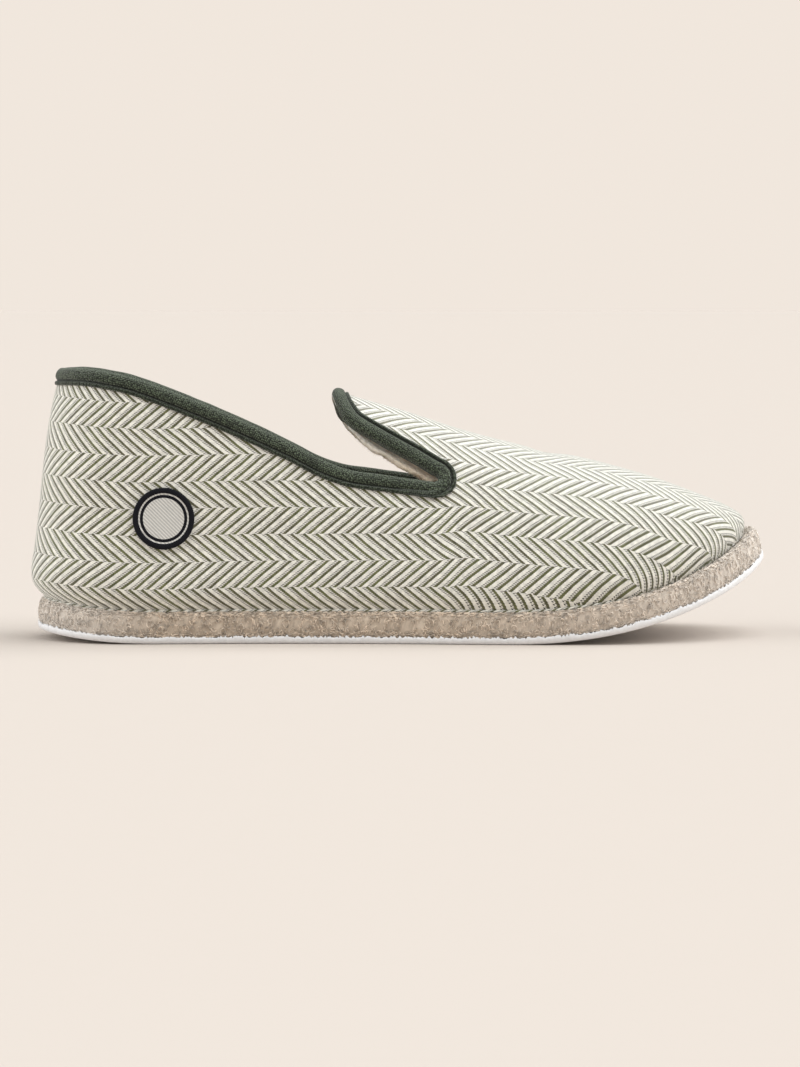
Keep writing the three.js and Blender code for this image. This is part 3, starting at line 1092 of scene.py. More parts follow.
def studio_world(stage):
    """Even light from all round, with a plain backdrop where the camera looks past the floor."""
    world = bpy.data.worlds.new("studio")
    world.use_nodes = True
    tree = world.node_tree
    tree.nodes.clear()
    light = node(tree, "ShaderNodeBackground", Color=(1.0, 0.985, 0.965), Strength=stage.ambient)
    seen = node(tree, "ShaderNodeBackground", Color=stage.backdrop, Strength=1.0)
    path = node(tree, "ShaderNodeLightPath").outputs["Is Camera Ray"]
    mix = node(tree, "ShaderNodeMixShader", _0=path, _1=light.outputs[0], _2=seen.outputs[0])
    tree.links.new(mix.outputs[0], node(tree, "ShaderNodeOutputWorld").inputs[0])
    return world


def floor_material(stage):
    """Pale matt floor, all but even."""
    material, tree, shader = new_material("pale_floor")
    soft = grain(tree, 60.0, 1.0)
    tint = blended(tree, soft, shade(stage.floor, 0.998), shade(stage.floor, 1.002))
    dress(tree, shader, tint, Roughness=0.9, Specular_IOR_Level=0.1)
    return material
# Edges and sweeps


def collar_line():
    """The cloth's edge from the back of the heel round the outer side, the peak and the inner
    side to the heel again, as points a millimetre apart with the outward directions there."""
    ways = np.linspace(0, 0.82, 380)
    grid, normals = last_grid(ways, 110)
    sheet = Sheet(
        grid.reshape(-1, 3), normals.reshape(-1, 3), np.zeros((grid.size // 3, 2)),
        grid_faces(len(ways), grid.shape[1]))
    cut, edges = clipped(sheet, side_distance(sheet.points, opening_outline()))
    order = chained(edges)
    points = cut.points[order]
    normals = cut.normals[order]
    # The line starts on the outer side
    if points[12, 1] > 0:
        points = points[::-1]
        normals = normals[::-1]
    for _ in range(3):
        points[1:-1] = (points[:-2] + 2 * points[1:-1] + points[2:]) / 4
    run = run_along(points)
    at = np.linspace(0, run[-1], int(run[-1]) + 1)
    points = picked(at, run, points)
    normals = unit(picked(at, run, normals))
    for _ in range(4):
        normals[1:-1] = unit(normals[:-2] + 2 * normals[1:-1] + normals[2:])
    return points, normals


def sweep(points, normals, profiles, shape):
    """A closed tube along a line, from one profile of outward and downward steps a station.
    The plain shape gives the chart its way round the tube."""
    along = unit(np.gradient(points, axis=0))
    out = unit(normals - along * np.sum(normals * along, axis=1, keepdims=True))
    down = np.cross(along, out)
    skin = (
        points[:, None, :]
        + out[:, None, :] * profiles[..., 0:1]
        + down[:, None, :] * profiles[..., 1:2])
    skin = np.concatenate((skin, skin[:, :1]), axis=1)
    girth = run_along(np.concatenate((shape, shape[:1])))
    chart = np.stack(np.meshgrid(run_along(points), girth, indexing="ij"), axis=-1)
    count = profiles.shape[1]
    faces = [face[::-1] for face in grid_faces(len(points), count + 1)]
    last = (len(points) - 1) * (count + 1)
    ends = [tuple(range(count)), tuple(range(last + count - 1, last - 1, -1))]
    return skin.reshape(-1, 3), chart.reshape(-1, 2), faces + ends


# Tape in section, as steps out from the cloth's edge and down: the roll, the slot for the
# cloth, the flange's end, the middle of the roll and the number of points that the roll has
ROLL = (
    (-2.75, 3.95), (-3.4, 3.75), (-3.9, 2.8), (-4.05, 1.6), (-3.8, 0.2), (-3.1, -0.8),
    (-2.1, -1.25), (-1.3, -1.35), (-0.5, -1.25), (0.45, -0.8), (1.15, 0.2), (1.4, 1.5),
    (1.25, 2.8), (0.75, 3.55), (0.1, 3.9), (0.55, 4.25), (0.92, 4.7), (0.82, 5.4), (0.42, 5.78),
)
ROLL_SLOT = ((0.05, 5.75), (0.02, 3.0), (0.02, -0.02), (-2.68, -0.02), (-2.7, 2.0))
FLANGE_END = np.array((1.2, 5.8))
ROLL_MIDDLE = np.array((-1.3, 1.4))
ROLL_POINTS = 26
# Way round the tape's profile to the groove under its roll, in metres
TAPE_GROOVE = 0.0150


def tape_shape():
    """Profile of the rolled tape."""
    return np.concatenate((spline(ROLL, 34), ROLL_SLOT))


def tape_profiles(count, seed):
    """Profiles of the rolled tape, a little uneven along its length."""
    base = tape_shape()
    profiles = np.repeat(base[None], count, axis=0)
    soft = unevenness(np.arange(count), 7.0, seed)
    rolled = (np.arange(len(base)) < ROLL_POINTS)[None, :, None]
    return profiles + unit(profiles - ROLL_MIDDLE) * soft[:, None, None] * 0.16 * rolled


def perimeter(step):
    """Stations round the sole: ways, sides and the run along it, evenly spaced."""
    ways = []
    sides = []
    for side in (OUTER, INNER):
        fine, _, run = edge_run(side)
        count = int(run[-1] / step)
        at = np.interp(np.linspace(0, run[-1], count + 1), run, fine)
        ways.append(at[:-1] if side == OUTER else at[:0:-1])
        sides.append(np.full(count, float(side)))
    ways = np.concatenate(ways)
    sides = np.concatenate(sides)
    s, y, _ = flat_edge(ways, sides)
    return ways, sides, run_along(np.stack((s, y), axis=1))


def edge_skin(ways, sides, out, height):
    """Points of the sole's edge at each station: out and height have a column a row."""
    grid = np.empty((len(ways), out.shape[1], 3))
    for row in range(out.shape[1]):
        s, y, _ = moved_edge(ways, sides, out[:, row])
        grid[:, row] = on_sole(s, y, height[:, row])
    return grid


def slab(ways, sides, skin, low, high):
    """A skin round the sole's edge with the middle lines that close it below and above."""
    s = np.clip(flat_edge(ways, sides)[0], HEEL_CAP / 2, SOLE_LENGTH - TOE_CAP / 4)
    bottom, top = (on_sole(s, toe_turn(s / SOLE_LENGTH), height) for height in (low, high))
    return np.concatenate((bottom[:, None], skin, top[:, None]), axis=1)


def ring_faces(lines, columns):
    """Faces of a grid whose last line meets its first."""
    faces = []
    for i in range(lines):
        here = i * columns
        after = (i + 1) % lines * columns
        for j in range(columns - 1):
            faces.append((here + j, after + j, after + j + 1, here + j + 1))
    return faces


def tubes(paths, radii):
    """Many thin three-sided tubes as one mesh's points and faces, one for each line of points."""
    sides = 3
    count, steps, _ = paths.shape
    along = unit(np.gradient(paths, axis=1))
    lean = np.where(np.abs(along[..., 2:3]) < 0.8, (0.0, 0.0, 1.0), (1.0, 0.0, 0.0))
    first = unit(np.cross(along, lean))
    second = np.cross(along, first)
    turns = np.arange(sides) * 2 * math.pi / sides
    ring = (
        first[:, :, None] * np.cos(turns)[None, None, :, None]
        + second[:, :, None] * np.sin(turns)[None, None, :, None])
    taper = np.sin(np.linspace(0.25, math.pi - 0.25, steps)) ** 0.4
    points = paths[:, :, None] + ring * (radii[:, None] * taper[None, :])[..., None, None]
    quads = []
    for j in range(steps - 1):
        for k in range(sides):
            start = j * sides
            after = (k + 1) % sides
            quads.append((start + k, start + after, start + sides + after, start + sides + k))
    ends = (tuple(range(sides))[::-1], tuple((steps - 1) * sides + k for k in range(sides)))
    starts = (np.arange(count) * steps * sides)[:, None, None]
    faces = (starts + np.array(quads)).reshape(-1, 4).tolist()
    faces += (starts + np.array(ends)).reshape(-1, sides).tolist()
    return points.reshape(-1, 3), faces


# The felt's side in section, as shares of its bulge and its thickness, and its girth
FELT_EDGE = ((-0.4, 0.0), (0.5, 0.10), (1.0, 0.40), (0.9, 0.75), (0.1, 0.94), (-0.9, 1.0))
FELT_GIRTH = 12.0
# Spacing of the stations that the fibres are placed between
BAND_STEP = 2.0


def sole_band(run, girth, profile, lift):
    """Points on the felt's side: run along the edge, share up the profile, height over it."""
    ways, sides, stations = perimeter(BAND_STEP)
    total = stations[-1] + BAND_STEP
    at = np.interp(run % total, np.append(stations, total), np.arange(len(ways) + 1))
    low = np.floor(at).astype(int)
    mix = at - low
    low = low % len(ways)
    keys = np.linspace(0, 1, len(profile))
    slope = unit(np.gradient(profile * np.array((FELT_BULGE, FELT_THICKNESS)), axis=0))
    base = RUBBER_THICKNESS + CLEARANCE
    ends = []
    for pick in (low, (low + 1) % len(ways)):
        _, _, share_here = flat_edge(ways[pick], sides[pick])
        # Where the felt's top stands clear of the cloth, the band reaches in over it
        here = girth * (1 + np.maximum(seam_edge(share_here) - 1.5, 0) / FELT_GIRTH)
        out = np.interp(here, keys, profile[:, 0]) * FELT_BULGE - np.maximum(here - 1, 0) * FELT_GIRTH
        up = np.interp(here, keys, profile[:, 1])
        side_out = np.interp(here, keys, slope[:, 1])
        side_up = -np.interp(here, keys, slope[:, 0])
        height = base + (sole_height(share_here) - base) * up
        s, y, _ = moved_edge(ways[pick], sides[pick], out + side_out * lift)
        ends.append(on_sole(s, y, height + side_up * lift))
    return ends[0] + (ends[1] - ends[0]) * mix[:, None]
# Operators


def corners_of(points):
    """Stations of the collar line at the outer and the inner throat corner."""
    half = len(points) // 2
    return int(np.argmax(points[:half, 0])), half + int(np.argmax(points[half:, 0]))


# Each crease: middle along the last and up from the seam, side, half length, half width,
# turn in degrees from the rows and depth, in mm
CREASES = (
    (196.0, 88.0, 0, 20.0, 6.0, 90.0, 0.9),
    (184.0, 60.0, OUTER, 22.0, 5.0, 65.0, 0.35),
    (205.0, 52.0, OUTER, 16.0, 4.0, 75.0, 0.3),
    (172.0, 38.0, OUTER, 20.0, 5.0, 40.0, 0.3),
    (186.0, 60.0, INNER, 20.0, 5.0, 70.0, 0.4),
    (206.0, 50.0, INNER, 16.0, 4.0, 75.0, 0.3),
    (60.0, 22.0, OUTER, 26.0, 6.0, 8.0, 0.35),
    (98.0, 30.0, OUTER, 30.0, 7.0, -12.0, 0.3),
    (70.0, 26.0, INNER, 28.0, 6.0, -8.0, 0.35),
    (22.0, 34.0, OUTER, 18.0, 6.0, 15.0, 0.3),
    (24.0, 30.0, INNER, 16.0, 6.0, -10.0, 0.3),
)
PUCKER_PITCH = 4.8
PUCKER_DEPTH = 0.5
PUCKER_REACH = 2.4
# Steps from the seam up to the ridge on the last's grid
LAST_ROWS = 62


def creased(grid, normals, ways):
    """The last with the cloth's soft creases and the small puckers along its seam."""
    step = np.linalg.norm(np.diff(grid, axis=1), axis=2)
    zero = np.zeros((len(ways), 1))
    up_outer = np.concatenate((zero, np.cumsum(step, axis=1)), axis=1)
    up_inner = np.concatenate((np.cumsum(step[:, ::-1], axis=1)[:, ::-1], zero), axis=1)
    dent = np.zeros(grid.shape[:2])
    middle = (grid.shape[1] - 1) // 2
    height = np.minimum(up_outer, up_inner)
    for along, up, side, long, wide, turn, depth in CREASES:
        dx = grid[..., 0] - along
        dz = height - up
        angle = math.radians(turn)
        run = dx * math.cos(angle) + dz * math.sin(angle)
        across = -dx * math.sin(angle) + dz * math.cos(angle)
        shape = depth * np.exp(-((run / long) ** 2) - (across / wide) ** 2)
        if side == OUTER:
            shape[:, middle + 1:] = 0
        elif side == INNER:
            shape[:, :middle] = 0
        dent += shape
    for side, up in ((OUTER, up_outer), (INNER, up_inner)):
        run = outline_run(ways, side)
        phase = 2 * math.pi * (run + 1.3 * unevenness(run, 9.0, 31 + side)) / PUCKER_PITCH
        wave = (0.5 - 0.5 * np.cos(phase)) * (0.75 + 0.5 * unevenness(run, 6.0, 33 + side))
        dent += PUCKER_DEPTH * wave[:, None] * np.exp(-((up / PUCKER_REACH) ** 2))
    # Both sides share the ribs at the heel's and the toe's end
    dent *= smooth(np.minimum(ways, 1 - ways) / 0.02)[:, None]
    return grid - normals * dent[..., None]


class SLIPPER_OT_upper(bpy.types.Operator):
    """Herringbone cloth and brushed lining of the upper"""

    bl_idname = "slipper.upper"
    bl_label = "Cloth and Lining"

    def execute(self, context):
        cloth = context.scene.slipper_cloth
        ways = np.linspace(0, 1, 300)
        grid, normals = last_grid(ways, LAST_ROWS)
        chart = weave_chart(grid, ways, LAST_ROWS)
        grid = creased(grid, normals, ways)
        # The lowest row tucks in between cloth and felt
        grid[:, (0, -1), 2] -= 0.28
        shape = grid.reshape(-1, 3)
        sheet = Sheet(
            shape, normals.reshape(-1, 3), chart.reshape(-1, 2), grid_faces(len(ways), grid.shape[1]))
        cut, _ = clipped(sheet, side_distance(shape, opening_outline()))
        thick = cloth.cloth_thickness * 1000
        points, flat, faces = shell(cut, 0.0, -thick)
        outside = add_mesh("upper_cloth", points, faces, [cloth_material(cloth)], flat)
        place(outside, "herringbone_cloth", "upper")
        points, flat, faces = shell(cut, -thick - 0.05, -WALL)
        pile = fleece_material("brushed_lining", cloth.lining)
        inside = add_mesh("upper_lining", points, faces, [pile], flat)
        place(inside, "lining_felt")
        return {"FINISHED"}


# Length from the heel over which the turned edge sinks behind the felt's top, toward the toe
HEM_FADE = (196.0, 228.0)


class SLIPPER_OT_hem(bpy.types.Operator):
    """Turned edge of the cloth, drawn in by the stitches that hold it to the felt"""

    bl_idname = "slipper.hem"
    bl_label = "Hem"

    def execute(self, context):
        cloth = context.scene.slipper_cloth
        ways = np.linspace(0, 1, 700)
        grid, normals = last_grid(ways, LAST_ROWS)
        line = np.concatenate((grid[:, 0], grid[-2:0:-1, -1]))
        out = np.concatenate((normals[:, 0], normals[-2:0:-1, -1]))
        lead = np.concatenate((line[-6:], line, line[:6]))
        for _ in range(6):
            lead[1:-1] = (lead[:-2] + 2 * lead[1:-1] + lead[2:]) / 4
        line = lead[6:-6]
        ahead = np.roll(line, -1, axis=0)
        along = unit(ahead - np.roll(line, 1, axis=0))
        run = np.concatenate(([0.0], np.cumsum(np.linalg.norm(ahead - line, axis=1))[:-1]))
        phase = 2 * math.pi * (run + 1.2 * unevenness(run, 7.0, 41)) / PUCKER_PITCH
        full = 0.5 + 0.5 * np.cos(phase)
        side = unit(out - along * np.sum(out * along, axis=1, keepdims=True))
        up = np.cross(side, along)
        up *= np.sign(up[:, 2:3])
        flush = smooth((line[:, 0] - HEM_FADE[0]) / (HEM_FADE[1] - HEM_FADE[0]))[:, None]
        full = full[:, None] * (1 - flush)
        middle = line + side * (0.05 + 0.25 * full - 0.45 * flush) + up * (0.5 - 0.35 * flush)
        turns = np.linspace(0, 2 * math.pi, 11)
        radius = 0.5 + 0.22 * full - 0.1 * flush
        skin = (
            middle[:, None] + side[:, None] * (radius * np.cos(turns))[..., None]
            + up[:, None] * (radius * 0.9 * np.sin(turns))[..., None]
        )
        chart = np.stack(np.broadcast_arrays(run[:, None], 18.0 + turns * 0.9), axis=-1)
        faces = ring_faces(len(line), len(turns))
        piece = add_mesh(
            "cloth_hem", skin.reshape(-1, 3), faces, [cloth_material(cloth)], chart.reshape(-1, 2))
        place(piece, "herringbone_cloth")
        return {"FINISHED"}


class SLIPPER_OT_tape(bpy.types.Operator):
    """Tape rolled round the quarter's edge and the vamp's edge"""

    bl_idname = "slipper.tape"
    bl_label = "Rolled Tape"

    def execute(self, context):
        material = tape_material(context.scene.slipper_tape)
        points, normals = collar_line()
        outer_corner, inner_corner = corners_of(points)
        inset = 1
        order = np.concatenate((
            np.arange(inner_corner - inset, len(points) - 1), np.arange(0, outer_corner + inset)))
        flat, chart, faces = sweep(
            points[order], normals[order], tape_profiles(len(order), 1), tape_shape())
        quarter = add_mesh("quarter_tape", flat, faces, [material], chart)
        place(quarter, "woven_tape", "collar_binding")
        tail = 20
        order = np.arange(outer_corner - tail, inner_corner + tail + 1)
        profiles = tape_profiles(len(order), 2)
        near_peak = smooth((points[order, 2] - 86.0) / 6.0)[:, None]
        slim = 1 - 0.15 * near_peak[..., None]
        profiles = FLANGE_END + (profiles - FLANGE_END) * slim
        # Past each corner the tape narrows to a fold along the underside of the quarter's roll
        past = np.maximum(tail - np.arange(len(order)), 0) / tail
        past = np.maximum(past, past[::-1])[:, None, None]
        narrow = 1 - 0.75 * np.clip(past, 0, 1) ** 2
        fold = (profiles - np.array((-1.3, 2.2))) * np.array((0.3, 0.46)) * narrow
        fold += np.array((0.75, 4.7)) - np.array((0.5, 0.2)) * past
        share_folded = smooth(past * 3.2)
        near = smooth(1 - np.abs(past - 0.02) * 4) * (past > 0)
        profiles += (profiles - np.array((-1.3, 1.6))) * 0.07 * near
        profiles += (fold - profiles) * share_folded
        flat, chart, faces = sweep(points[order], normals[order], profiles, tape_shape())
        vamp = add_mesh("vamp_tape", flat, faces, [material], chart)
        place(vamp, "woven_tape")
        return {"FINISHED"}


# Section of the lining behind the vamp's tape, as steps out from the edge and down
FLAP = (
    (-2.62, 12.0), (-2.7, 6.5), (-3.5, 4.7), (-4.2, 3.0), (-4.28, 0.0), (-3.9, -1.3), (-3.3, -2.3),
    (-3.3, -3.3), (-4.0, -3.9), (-4.9, -3.8), (-5.7, -2.8), (-6.0, -0.6), (-5.9, 3.0), (-5.0, 7.0),
    (-3.7, 10.5),
)
# Height where the lining sinks behind the tape
FLAP_TOP = 90.0


class SLIPPER_OT_flap(bpy.types.Operator):
    """Brushed lining standing proud behind the vamp's tape"""

    bl_idname = "slipper.flap"
    bl_label = "Vamp Lining"

    def execute(self, context):
        cloth = context.scene.slipper_cloth
        points, normals = collar_line()
        outer_corner, inner_corner = corners_of(points)
        order = np.arange(outer_corner - 1, inner_corner + 6)
        line = points[order]
        base = spline(FLAP + FLAP[:1], 40)[:-1]
        profiles = np.repeat(base[None], len(order), axis=0)
        proud = smooth((FLAP_TOP - line[:, 2]) / 15.0)
        proud *= smooth(np.arange(len(order)) / 5.0) * smooth(np.arange(len(order))[::-1] / 2.0)
        soft = ruffle(line, 6.0, 21) * 0.5
        inward = np.minimum(profiles[..., 0] + 2.3, 0)
        profiles[..., 0] -= inward * (1 - proud[:, None]) * 0.9
        beyond = np.maximum(1.2 - profiles[..., 1], 0)
        profiles[..., 1] += beyond * 0.9 * (1 - proud[:, None])
        beyond = np.maximum(-profiles[..., 1] - 1.0, 0)
        profiles[..., 1] -= beyond * proud[:, None] * soft[:, None]
        away = unit(profiles - np.array((-4.4, 2.0)))
        fluff = ruffle(
            (line[:, None, :] + profiles[..., 1:2] * np.array((0.3, 1.0, 0.7))).reshape(-1, 3), 1.5, 22)
        fluff = fluff.reshape(profiles.shape[:2])
        profiles += away * fluff[..., None] * 0.22
        flat, chart, faces = sweep(line, normals[order], profiles, base)
        piece = add_mesh(
            "vamp_lining", flat, faces,
            [fleece_material("vamp_fleece", cloth.fluff, 700.0, cloth.fluff_corner_shade, 0.1)], chart)
        place(piece, "lining_felt")
        draws = np.random.default_rng(11)
        count = 1700
        steps = 5
        pick = draws.integers(2, len(order) - 2, count)
        side = draws.choice(np.arange(14, 30), count)
        roots = flat.reshape(len(order), -1, 3)[pick, side]
        tips = unit(roots - line[pick] - normals[order][pick] * -4.4)
        bend = draws.normal(0, 0.5, (count, 3))
        t = np.linspace(0, 1, steps)[None, :, None]
        reach = draws.uniform(0.35, 0.95, count)[:, None, None] * proud[pick][:, None, None]
        hairs = roots[:, None] - tips[:, None] * 0.1
        hairs = hairs + (tips[:, None] * t + bend[:, None] * t * t) * reach
        keep = proud[pick] > 0.2
        flat, faces = tubes(hairs[keep], np.full(keep.sum(), 0.07))
        fuzz = add_mesh(
            "vamp_lining_fuzz", flat, faces,
            [fleece_material("fuzz", cloth.fluff, 420.0, cloth.fluff_corner_shade, 0.1)], weld=False)
        place(fuzz, "lining_felt")
        return {"FINISHED"}


class SLIPPER_OT_felt(bpy.types.Operator):
    """Thick band of looped wool felt"""

    bl_idname = "slipper.felt"
    bl_label = "Felt Sole"

    def execute(self, context):
        sole = context.scene.slipper_sole
        ways, sides, run = perimeter(0.6)
        _, _, at = flat_edge(ways, sides)
        low = RUBBER_THICKNESS + CLEARANCE
        high = sole_height(at)
        edge = spline(FELT_EDGE, 20)
        inner = -seam_edge(at) - 3.0
        ledge = np.linspace(1, 0, 9)[:-1]
        out = np.concatenate((
            edge[None, :, 0].repeat(len(ways), axis=0) * FELT_BULGE,
            (-0.9 * FELT_BULGE + (inner[:, None] + 0.9 * FELT_BULGE) * (1 - ledge)[None, :])[:, 1:],
        ), axis=1)
        up = np.concatenate((edge[:, 1], np.ones(7)))
        height = low + (high[:, None] - low) * up[None, :]
        girth = np.concatenate(([0.0], np.cumsum(np.hypot(
            np.diff(out.mean(axis=0)), np.diff(height.mean(axis=0))))))
        place_run = np.stack(np.broadcast_arrays(run[:, None], girth[None, :], 0.0), axis=-1)
        relief = curls(place_run.reshape(-1, 3), sole.curl_size * 1000).reshape(out.shape)
        slope_out = np.gradient(out.mean(axis=0))
        slope_up = np.gradient(height.mean(axis=0))
        size = np.hypot(slope_out, slope_up)
        fade = smooth(np.minimum(girth / 0.8, 1.0))[None, :]
        lift = (relief - 1.0) * sole.loft * 1000 * fade
        grid = edge_skin(
            ways, sides, out + lift * (slope_up / size)[None, :],
            height - lift * (slope_out / size)[None, :])
        grid = slab(ways, sides, grid, low, high)
        material = felt_material(sole)
        band_piece = add_mesh(
            "felt_band", grid.reshape(-1, 3), ring_faces(len(ways), grid.shape[1]), [material])
        put_relief(band_piece, grid.reshape(-1, 3),
                   np.pad(relief, ((0, 0), (1, 1)), constant_values=0.5).reshape(-1))
        place(band_piece, "wool_felt", "felt_midsole")
        return {"FINISHED"}


def curls(points, size):
    """Curly relief from 0 in the creases to 1 on the loops."""
    sway = ruffle(points, size * 1.8, 3)
    sway_too = ruffle(points, size * 1.8, 4)
    bent = points + np.stack((sway, sway_too, np.zeros(len(points))), axis=1) * size * 0.9
    first = np.abs(ruffle(bent * np.array((0.8, 1.0, 1.0)), size, 5))
    second = np.abs(ruffle(bent, size * 0.55, 6))
    return np.clip(np.sqrt(first * 1.7) * 0.75 + np.sqrt(second) * 0.35, 0, 1)


def put_relief(piece, points, relief):
    """Writes the relief to the mesh's points for its material."""
    used = np.unique(weld_map(points))
    attribute = piece.data.attributes.new("relief", "FLOAT", "POINT")
    attribute.data.foreach_set("value", relief[used].astype(np.float32))


class SLIPPER_OT_loops(bpy.types.Operator):
    """Curled wool fibres standing off the felt's side"""

    bl_idname = "slipper.loops"
    bl_label = "Felt Curls"

    def execute(self, context):
        sole = context.scene.slipper_sole
        profile = spline(FELT_EDGE, 24)
        material = wool_fibre_material(sole)
        _, _, stations = perimeter(BAND_STEP)
        half = (stations[-1] + BAND_STEP) / 2
        for name, seed, first in (("felt_curls_outer", 7, 0.0), ("felt_curls_inner", 8, half)):
            draws = np.random.default_rng(seed)
            count = 4400
            steps = 8
            run = draws.uniform(first, first + half, count)
            girth = draws.uniform(0.08, 0.98, count)
            radius = draws.uniform(0.35, 1.0, count)
            start = draws.uniform(0, 2 * math.pi, count)
            turn = draws.uniform(2.0, 5.0, count) * draws.choice((-1, 1), count)
            squash = draws.uniform(0.35, 0.85, count)
            widening = draws.uniform(-0.5, 0.5, count)
            height = draws.uniform(0.1, 0.45, count)
            t = np.linspace(0, 1, steps)[None, :]
            angle = start[:, None] + turn[:, None] * t
            opening = radius[:, None] * (1 + widening[:, None] * t)
            along = run[:, None] + opening * np.cos(angle)
            up = girth[:, None] + opening * np.sin(angle) * squash[:, None] / FELT_GIRTH
            lift = 0.05 + np.sin(math.pi * t) * height[:, None]
            points = sole_band(
                along.ravel(), np.clip(up, 0.04, 1.0).ravel(), profile, lift.ravel())
            flat, faces = tubes(
                points.reshape(count, steps, 3), draws.uniform(0.13, 0.21, count))
            piece = add_mesh(name, flat, faces, [material], weld=False)
            place(piece, "wool_felt")
        return {"FINISHED"}


class SLIPPER_OT_rubber(bpy.types.Operator):
    """Thin white rubber sole with its ragged upper edge"""

    bl_idname = "slipper.rubber"
    bl_label = "Rubber Sole"

    def execute(self, context):
        sole = context.scene.slipper_sole
        ways, sides, run = perimeter(0.45)
        teeth = np.abs(unevenness(run, 1.3, 11)) * 1.1
        teeth += np.maximum(unevenness(run, 0.6, 12), 0) * 0.9
        teeth = np.clip(teeth, 0, 1) * sole.teeth * 1000
        soft = unevenness(run, 5.0, 13) * 0.12
        top = RUBBER_THICKNESS + teeth
        out = np.stack((
            np.full(len(run), -0.55), 0.1 + soft, 0.75 + soft, 1.0 + soft,
            1.05 + soft * 0.5, np.full(len(run), 0.85), np.full(len(run), 0.3),
            np.full(len(run), -0.5)), axis=1)
        rise = np.array((0.0, 0.06, 0.25, 0.6, 0.9, 1.0, 0.97, 0.5))
        height = top[:, None] * rise[None, :]
        height[:, -1] = RUBBER_THICKNESS
        grid = edge_skin(ways, sides, out, height)
        grid = slab(ways, sides, grid, 0.0, RUBBER_THICKNESS)
        piece = add_mesh(
            "rubber_sole", grid.reshape(-1, 3), ring_faces(len(ways), grid.shape[1]),
            [rubber_material(sole)])
        place(piece, "white_rubber", "outsole")
        return {"FINISHED"}


class SLIPPER_OT_insole(bpy.types.Operator):
    """Soft sock on the felt inside the upper"""

    bl_idname = "slipper.insole"
    bl_label = "Insole"

    def execute(self, context):
        cloth = context.scene.slipper_cloth
        ways, sides, _ = perimeter(2.0)
        _, _, at = flat_edge(ways, sides)
        inset = -seam_edge(at) - WALL - INSOLE_MARGIN
        base = sole_height(at) + CLEARANCE
        out = inset[:, None] + np.array((0.0, 0.1, 0.05, -0.4, -1.4, -4, -8, -12, -16, -20, -24, -28))
        up = base[:, None] + np.array((0.02, 0.8, 2.0, 2.7, 2.95, 2.85, 2.7, 2.65, 2.6, 2.6, 2.6, 2.6))
        grid = edge_skin(ways, sides, np.maximum(out, -30.0), up)
        grid = slab(ways, sides, grid[:, :7], base, base + 2.6)
        piece = add_mesh(
            "insole_pad", grid.reshape(-1, 3), ring_faces(len(ways), grid.shape[1]),
            [fleece_material("insole_fleece", cloth.lining, 500.0)])
        place(piece, "lining_felt", "insole")
        return {"FINISHED"}


# Middle of the patch in the side view
PATCH_REACH = 47.2
PATCH_HEIGHT = 47.4


def surface_at(places):
    """Points of the outer side and their outward directions at places in the side view."""
    way = np.full(len(places), 0.28)
    climb = np.full(len(places), 0.6)

    def at(w, c):
        return np.array([last_points(a, OUTER, [b])[0, 0] for a, b in zip(w, c)])

    for _ in range(7):
        here = at(way, climb)
        step = 1e-3
        dw = (at(way + step, climb) - here) / step
        dc = (at(way, climb + step) - here) / step
        gap = places - here[:, (0, 2)]
        det = dw[:, 0] * dc[:, 2] - dc[:, 0] * dw[:, 2]
        way = way + (gap[:, 0] * dc[:, 2] - gap[:, 1] * dc[:, 0]) / det
        climb = climb + (gap[:, 1] * dw[:, 0] - gap[:, 0] * dw[:, 2]) / det
    here = at(way, climb)
    out = unit(np.cross(dw, dc))
    return here, out * np.sign(-out[:, 1:2])


